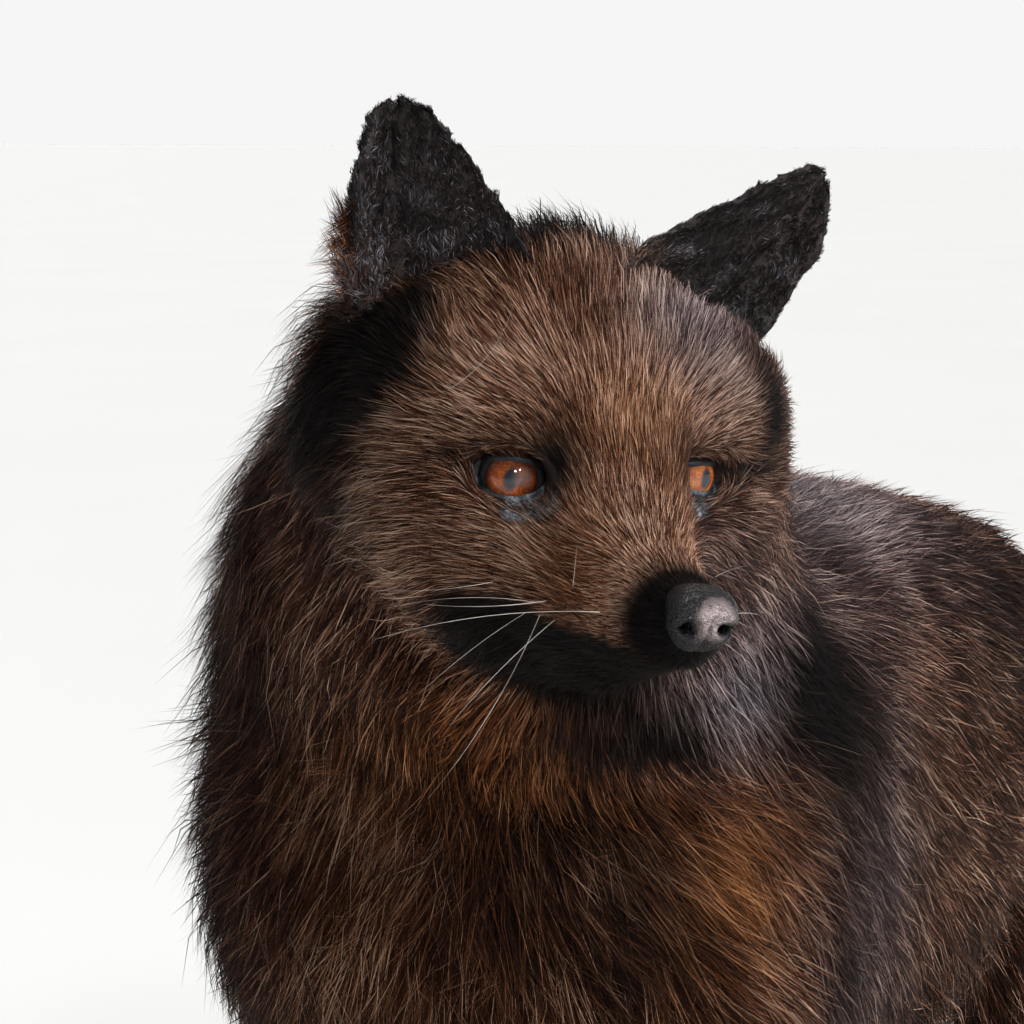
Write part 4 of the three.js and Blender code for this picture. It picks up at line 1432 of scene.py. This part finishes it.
# %% The body's coat
TAIL_FROM, LEG_TOP = 212, 225
FORELEGS, HINDLEGS = (-145, 60), (155, 75)  # the middle, and how far from it
x, y, z = points.T
on_body = 1.0 - share
is_tail = y > TAIL_FROM
is_leg = (z < LEG_TOP) & (np.abs(x) > 14) & ~is_tail
is_leg &= (np.abs(y - FORELEGS[0]) < FORELEGS[1]) | (np.abs(y - HINDLEGS[0]) < HINDLEGS[1])
is_neck = ~is_tail & ~is_leg & (y < -150 + (z - 300) * 0.35)
is_trunk = ~is_tail & ~is_leg & ~is_neck
for name, chosen, line in (
    ("coat_neck", is_neck, ((0, -240, 150), (20, -230, 540))),
    ("coat_trunk", is_trunk, ((0, -240, 315), (0, 260, 315))),
    ("coat_legs", is_leg, ((0, 0, 10), (0, 0, 250))),
    ("coat_tail", is_tail, ((0, 180, 300), (0, 580, 60))),
):
    pieces = 3 if name == "coat_tail" else 2
    stir, lock_size = (10.0, 24) if name == "coat_neck" else (3.0, 14)
    hair = tufts(body, weight * on_body * chosen, pieces, 0.0, stir, lock_size)
    total += grown(name, hair, around(*line), HAIR)
print("coat with the body's:", total, "triangles")

# %% Brows on the lids
for name, lid in lids.items():
    lid_points = mesh_points(lid.data)
    lid_on_head = to_head(lid_points)
    lid_coat = over_body(lid_points, HEAD_COAT, BODY_COAT)
    lid_hair = surface_of(lid.data, lid_coat, marks_of(lid_points))
    lid_weight = lid_coat[:, 3] * bare(lid_on_head) * under_lids(lid_on_head) * THIN
    total += grown(f"coat_brow_{name}", tufts(lid_hair, lid_weight, 2), face_line, HAIR)
print("coat with the brows:", total, "triangles")

# %% [markdown]
# ## Velvet on the ears
# The ears' hair is short, matted and nearly black, with grey lint caught in it and a brown fringe
# low on the outer edge. The near ear has more grey flecks, partly lint and partly painted highlight,
# most of them along its rolled ridge. It is the same kind of blade as the coat, only shorter, wilder
# and denser.

# %% Ears' velvet
EAR_COAT = (2.0, 11, 0.22, 5.0 * THIN, 0, 0.8)
for name, sheet in ear_meshes.items():
    ear_points = mesh_points(sheet.data)
    normals = mesh_normals(sheet.data)
    root, axes = ear_axes(EARS[name])
    height = (to_head(ear_points) - root) @ axes[:, 2]
    up = turned_with_head(axes[:, 2])
    lie = unit(up - normals * (normals @ up)[:, None])
    marks = marks_of(ear_points)
    marks[:, 1] = np.maximum(marks[:, 1], smooth_step(-12, 8, height) * 0.97)
    values = np.tile(np.array(EAR_COAT), (len(ear_points), 1))
    outward = (to_head(ear_points) - root) @ axes[:, 1] * EARS[name]["side"]
    fluff = EARS[name]["fluff"] * smooth_step(17.5, 22.0, outward) * smooth_step(44.0, 30.0, height)
    fluff *= smooth_step(-2.0, 8.0, height)
    marks[:, 1] *= 1.0 - fluff
    marks[:, 0] = np.maximum(marks[:, 0], 0.7 * fluff)
    values[:, :2] += fluff[:, None] * (8.0, 24.0)
    velvet = surface_of(sheet.data, values, marks, lie)
    hair = tufts(velvet, values[:, 3] * smooth_step(-12, -6, height), 2, wild=0.5, lock_size=24)
    patchy = smooth_step(0.3, 0.8, wandering(hair["spine"][:, 0], 15.0, 21))
    roots = to_head(hair["spine"][:, 0]) - root
    # Grey flecks: lint, and on the near ear more of them, partly painted highlight, most along the rolled
    # ridge.
    on_ridge = np.exp(-((roots @ axes[:, 1] * EARS[name]["side"] - 15.0) / 2.2) ** 2) * EARS[name]["fluff"]
    lint_and_sheen = random.random(len(patchy)) < EARS[name]["lint_and_sheen"] + 0.3 * patchy + 0.4 * on_ridge
    hair["marks"][lint_and_sheen] = (0.0, 0.0, 1.0)
    hair["tuft"][lint_and_sheen] = random.uniform(0.45, 0.95, lint_and_sheen.sum())
    total += grown(f"coat_ear_{name}", hair, around((0, 0, 0), (0, 0, 100), True), VELVET)
print("coat with the ears:", total, "triangles")

# %% [markdown]
# ## One skin object
# The ear sheets could stay separate, but a real ear is part of the hide. They join the skin, which
# then stands for every node of flesh.

# %% Join the skin
def take_in(whole, *others):
    bm = bmesh.new()
    bm.from_mesh(whole.data)
    for other in others:
        bm.from_mesh(other.data)
    bm.to_mesh(whole.data)
    bm.free()
    for other in others:
        bpy.data.objects.remove(other)


take_in(skin, *ear_meshes.values())
skin_points = mesh_points(skin.data)
near_root, middling = np.full(len(skin_points), 0.25), np.full(len(skin_points), 0.3)
set_hair_values(skin.data, near_root, middling, marks_of(skin_points))
skin.data.materials.append(SKIN)
skin.data.shade_smooth()
finish_piece(skin, "coat_brown", *FLESH, "ear_left", "ear_right")
print("skin:", len(mesh_triangles(skin.data)), "triangles; coat:", total)

# %% [markdown]
# ## Whiskers
# Whiskers are the thickest hairs on a fox, round and tapering, on the upper lip and the cheek. A
# flat blade would vanish when seen from its edge, so a narrow grid is rolled round a bent line for
# each one, and all of them are joined as one piece.

# %% Whiskers
WHISKER, tree, shader = new_material("whisker", Roughness=0.3)
pale_part = noise(tree, object_place(tree), 60.0, 2.0)
colour = ramp(tree, pale_part, (0.4, (0.20, 0.17, 0.15)), (0.6, (0.50, 0.45, 0.41)))
tree.links.new(colour, shader.inputs["Base Color"])
# (root, tip, sag, thickness) in head axes; the last few are stray hairs of the brow and muzzle
WHISKERS = [
    ((48, -17, -29), (29, -70, -42), 2.5, 0.14),
    ((23, -22, -31), (14, -52, -35), -1.0, 0.14),
    ((28, -21, -35), (28, -47, -64), 1.0, 0.12),
    ((22, -23, -35), (26, -50, -84), -2.5, 0.14),
    ((14, -24, -36), (10, -50, -60), 1.0, 0.08),
    ((3, -30, -30), (-4, -60, -35), -1.0, 0.09),
    ((20, -24, -32), (6, -60, -38), 2.0, 0.08),
    ((48, 17, -29), (36, 34, -30), 1.0, 0.14),
    ((28, 21, -36), (22, 42, -48), 1.0, 0.12),
    ((20, 24, -34), (10, 44, -38), 1.0, 0.12),
    ((-12, -43, 19), (-1, -31, 44), -3.0, 0.1),
    ((34, -19.5, -25), (37.1, -21, -12), 0.5, 0.07),
    ((50, 13, -18), (53.1, 21.3, -14), 0.5, 0.08),
]


def whisker_mesh(rows):
    whole = bmesh.new()
    for root, tip, sag, thickness in rows:
        start, end = np.array(root, float), np.array(tip, float)
        along = unit(end - start)
        first = unit(np.cross(along, [0.0, 0.0, 1.0]))
        second = np.cross(first, along)

        def place(u, v):
            line = start + (end - start) * v[:, None] + second * (sag * 4.0 * v * (1.0 - v))[:, None]
            radius = thickness * (1.0 - 0.85 * v)
            turn = 2.0 * np.pi * u
            ring = first * (radius * np.cos(turn))[:, None] + second * (radius * np.sin(turn))[:, None]
            return from_head(line + ring)

        one = grid_surface(5, 10, place, merge=0.001)
        bmesh.ops.recalc_face_normals(one, faces=one.faces)
        mesh = bpy.data.meshes.new("whisker")
        one.to_mesh(mesh)
        one.free()
        whole.from_mesh(mesh)
        bpy.data.meshes.remove(mesh)
    return whole


finish_piece(object_from_bmesh("whiskers", whisker_mesh(WHISKERS), WHISKER), "coat_black")
print("whiskers:", len(WHISKERS))

# %% [markdown]
# ## Claws
# A fox's claws are short curved cones of dark horn. A cone would have to be bent afterwards, so
# each claw starts as a small disc that is pushed out in six steps, smaller and lower each time.

# %% Claws
HORN, tree, shader = new_material("claw horn", Roughness=0.35)
place = object_place(tree)
streaks = noise(tree, place, 700.0, 3.0)
colour = ramp(tree, streaks, (0.3, (0.010, 0.008, 0.007)), (0.7, (0.055, 0.042, 0.034)))
tree.links.new(colour, shader.inputs["Base Color"])


CLAW_STEPS = 6
CLAW_SHRINK = 0.78


def claw_piece(name):
    low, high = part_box(name)
    middle = (low + high) / 2.0
    bm = bmesh.new()
    bmesh.ops.create_circle(bm, segments=10, radius=2.0 * MM, cap_ends=True)
    face = bm.faces[:][0]
    matrix = Matrix.Rotation(math.radians(90.0), 4, "X")
    bmesh.ops.transform(bm, matrix=matrix, verts=bm.verts)
    bmesh.ops.translate(bm, verts=bm.verts, vec=(middle.x, high.y, high.z - 2.2 * MM))
    for step in range(CLAW_STEPS):
        made = bmesh.ops.extrude_face_region(bm, geom=[face])["geom"]
        verts = [part for part in made if isinstance(part, bmesh.types.BMVert)]
        faces = [part for part in made if isinstance(part, bmesh.types.BMFace)]
        bmesh.ops.delete(bm, geom=[face], context="FACES_ONLY")
        face = faces[0]
        centre = sum((vert.co for vert in verts), Vector()) / len(verts)
        shrink = Matrix.Diagonal((CLAW_SHRINK, CLAW_SHRINK, CLAW_SHRINK, 1.0))
        bmesh.ops.transform(bm, matrix=shrink, verts=verts, space=Matrix.Translation(-centre))
        bmesh.ops.translate(bm, verts=verts, vec=(0, -2.1 * MM, -(0.15 + 0.22 * step) * MM))
    bmesh.ops.recalc_face_normals(bm, faces=bm.faces)
    return object_from_bmesh(f"horn_{name[5:]}", bm, HORN)


claw_names = sorted(name for name in nodes if name.startswith("claw_"))
for name in claw_names:
    finish_piece(claw_piece(name), "claw", name)
print("claws:", len(claw_names))

# %% [markdown]
# ## Plank
# The fox stands on a plank of stained wood with rounded corners and softened rims. A bare box
# would do, but its edges would catch no light. It starts as a cube, and two bevels round it, first
# the upright edges and then the rims.

# %% Plank
WOOD, tree, shader = new_material("stained wood", Roughness=0.5)
place = object_place(tree, scale=(9.0, 0.55, 9.0))
grain = noise(tree, place, 9.0, 6.0, 0.62, 0.7)
fibre = noise(tree, object_place(tree, scale=(60.0, 1.4, 60.0)), 9.0, 3.0)
both = maths(tree, "ADD", maths(tree, "MULTIPLY", grain, 0.75), maths(tree, "MULTIPLY", fibre, 0.25))
colour = ramp(
    tree, both, (0.36, (0.045, 0.021, 0.011)), (0.52, (0.115, 0.056, 0.029)), (0.66, (0.19, 0.10, 0.053)),
)
tree.links.new(colour, shader.inputs["Base Color"])
tree.links.new(between(tree, both, 0.3, 0.7, 0.42, 0.6), shader.inputs["Roughness"])
bump(tree, shader, both, 0.35, 0.0008)


def plank_piece():
    low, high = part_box("stand_plank")
    size, middle = high - low, (low + high) / 2.0
    bm = bmesh.new()
    bmesh.ops.create_cube(bm, size=1.0, matrix=Matrix.Translation(middle) @ Matrix.Diagonal((*size, 1.0)))
    upright = [edge for edge in bm.edges if abs(edge.verts[0].co.z - edge.verts[1].co.z) > size.z / 2]
    settings = {"affect": "EDGES", "profile": 0.5, "material": -1}
    bmesh.ops.bevel(bm, geom=upright, offset=14 * MM, segments=8, **settings)
    rims = [edge for edge in bm.edges if abs(edge.verts[0].co.z - edge.verts[1].co.z) < 1e-6]
    bmesh.ops.bevel(bm, geom=rims, offset=3 * MM, segments=4, **settings)
    return object_from_bmesh("plank", bm, WOOD, smooth=False)


plank = finish_piece(plank_piece(), "plank", "stand_plank")
print("plank:", [round(side / MM) for side in plank.dimensions], "mm")

# %% [markdown]
# ## Floor and light
# A pale floor and large soft lamps show the shape without hard shadows. The key lamp stands high to
# the right of the camera, so the coat's lie catches it. A weaker one lights the coat from behind,
# and two small lamps near the camera put the glints in the eyes.

# %% Floor
FLOOR, tree, shader = new_material("pale floor", Roughness=0.85)
tone = noise(tree, object_place(tree), 1.4, 2.0)
colour = ramp(tree, tone, (0.3, (0.578, 0.576, 0.57)), (0.7, (0.592, 0.59, 0.584)))
tree.links.new(colour, shader.inputs["Base Color"])
bm = bmesh.new()
bmesh.ops.create_grid(bm, x_segments=8, y_segments=8, size=60.0)
floor = object_from_bmesh("floor", bm, FLOOR)
print("floor:", [round(side) for side in floor.dimensions], "m")

# %% Lamps and room
AIM = Vector((60, -300, 420)) * MM


def from_aim(azimuth, elevation):
    a, e = math.radians(azimuth), math.radians(elevation)
    return Vector((math.cos(e) * math.sin(a), -math.cos(e) * math.cos(a), math.sin(e)))


def lamp(kind, name, azimuth, elevation, away, energy, **settings):
    """A lamp that faces the fox's head, its place given as seen from there."""
    data = bpy.data.lights.new(name, kind)
    data.energy = energy
    for key, value in settings.items():
        setattr(data, key, value)
    obj = bpy.data.objects.new(name, data)
    bpy.context.scene.collection.objects.link(obj)
    obj.location = AIM + from_aim(azimuth, elevation) * away
    obj.rotation_euler = (AIM - obj.location).to_track_quat("-Z", "Y").to_euler()
    return obj


lamp("SUN", "key", 100.0, 50.0, 3.0, 4.7, angle=math.radians(24.0))
lamp("SUN", "back lamp", 225.0, 32.0, 3.0, 1.1, angle=math.radians(40.0))
lamp("AREA", "front lamp", 41.0, 30.0, 2.0, 14.0, size=0.2)
lamp("AREA", "side lamp", 62.0, 32.0, 2.0, 10.0, size=0.15)


def white_room(lighting, seen):
    """A white sky that the camera sees brighter than it lights, so the coat keeps its depth."""
    world = bpy.data.worlds.new("studio")
    world.use_nodes = True
    tree = world.node_tree
    background = tree.nodes["Background"]
    background.inputs["Color"].default_value = (1.0, 1.0, 1.0, 1.0)
    direct = node(tree, "ShaderNodeLightPath").outputs["Is Camera Ray"]
    tree.links.new(between(tree, direct, 0.0, 1.0, lighting, seen), background.inputs["Strength"])
    bpy.context.scene.world = world


white_room(0.2, 0.92)
bpy.context.scene.view_settings.view_transform = "Standard"

# %% [markdown]
# ## Camera
# The camera stands a little to the fox's left and a little above its eyes, near enough for the head
# to fill the frame. A long lens keeps the muzzle from looking swollen.

# %% Camera
AZIMUTH, ELEVATION = 28.0, 7.5  # degrees round from the fox's front, and up
CAMERA_AWAY = 800.0  # mm
FOCAL_PIXELS, IMAGE_SIDE = 2960.0, 1024.0
SENSOR = 36.0  # mm
BETWEEN_EYES = Vector((90.0, -310.0, 456.3))
toward = from_aim(AZIMUTH, ELEVATION)
right = Vector((math.cos(math.radians(AZIMUTH)), math.sin(math.radians(AZIMUTH)), 0.0))
up = toward.cross(right)
aim = BETWEEN_EYES - right * 25.0 - up * 9.7
camera_data = bpy.data.cameras.new("camera")
camera_data.sensor_width = SENSOR
camera_data.lens = FOCAL_PIXELS / IMAGE_SIDE * SENSOR
camera_data.clip_start = 0.05
camera = bpy.data.objects.new("camera", camera_data)
bpy.context.scene.collection.objects.link(camera)
camera.location = (aim + toward * CAMERA_AWAY) * MM
camera.rotation_euler = Matrix((right, up, toward)).transposed().to_euler()
bpy.context.scene.camera = camera
print("camera at", [round(x, 3) for x in camera.location], "lens", round(camera_data.lens, 2))
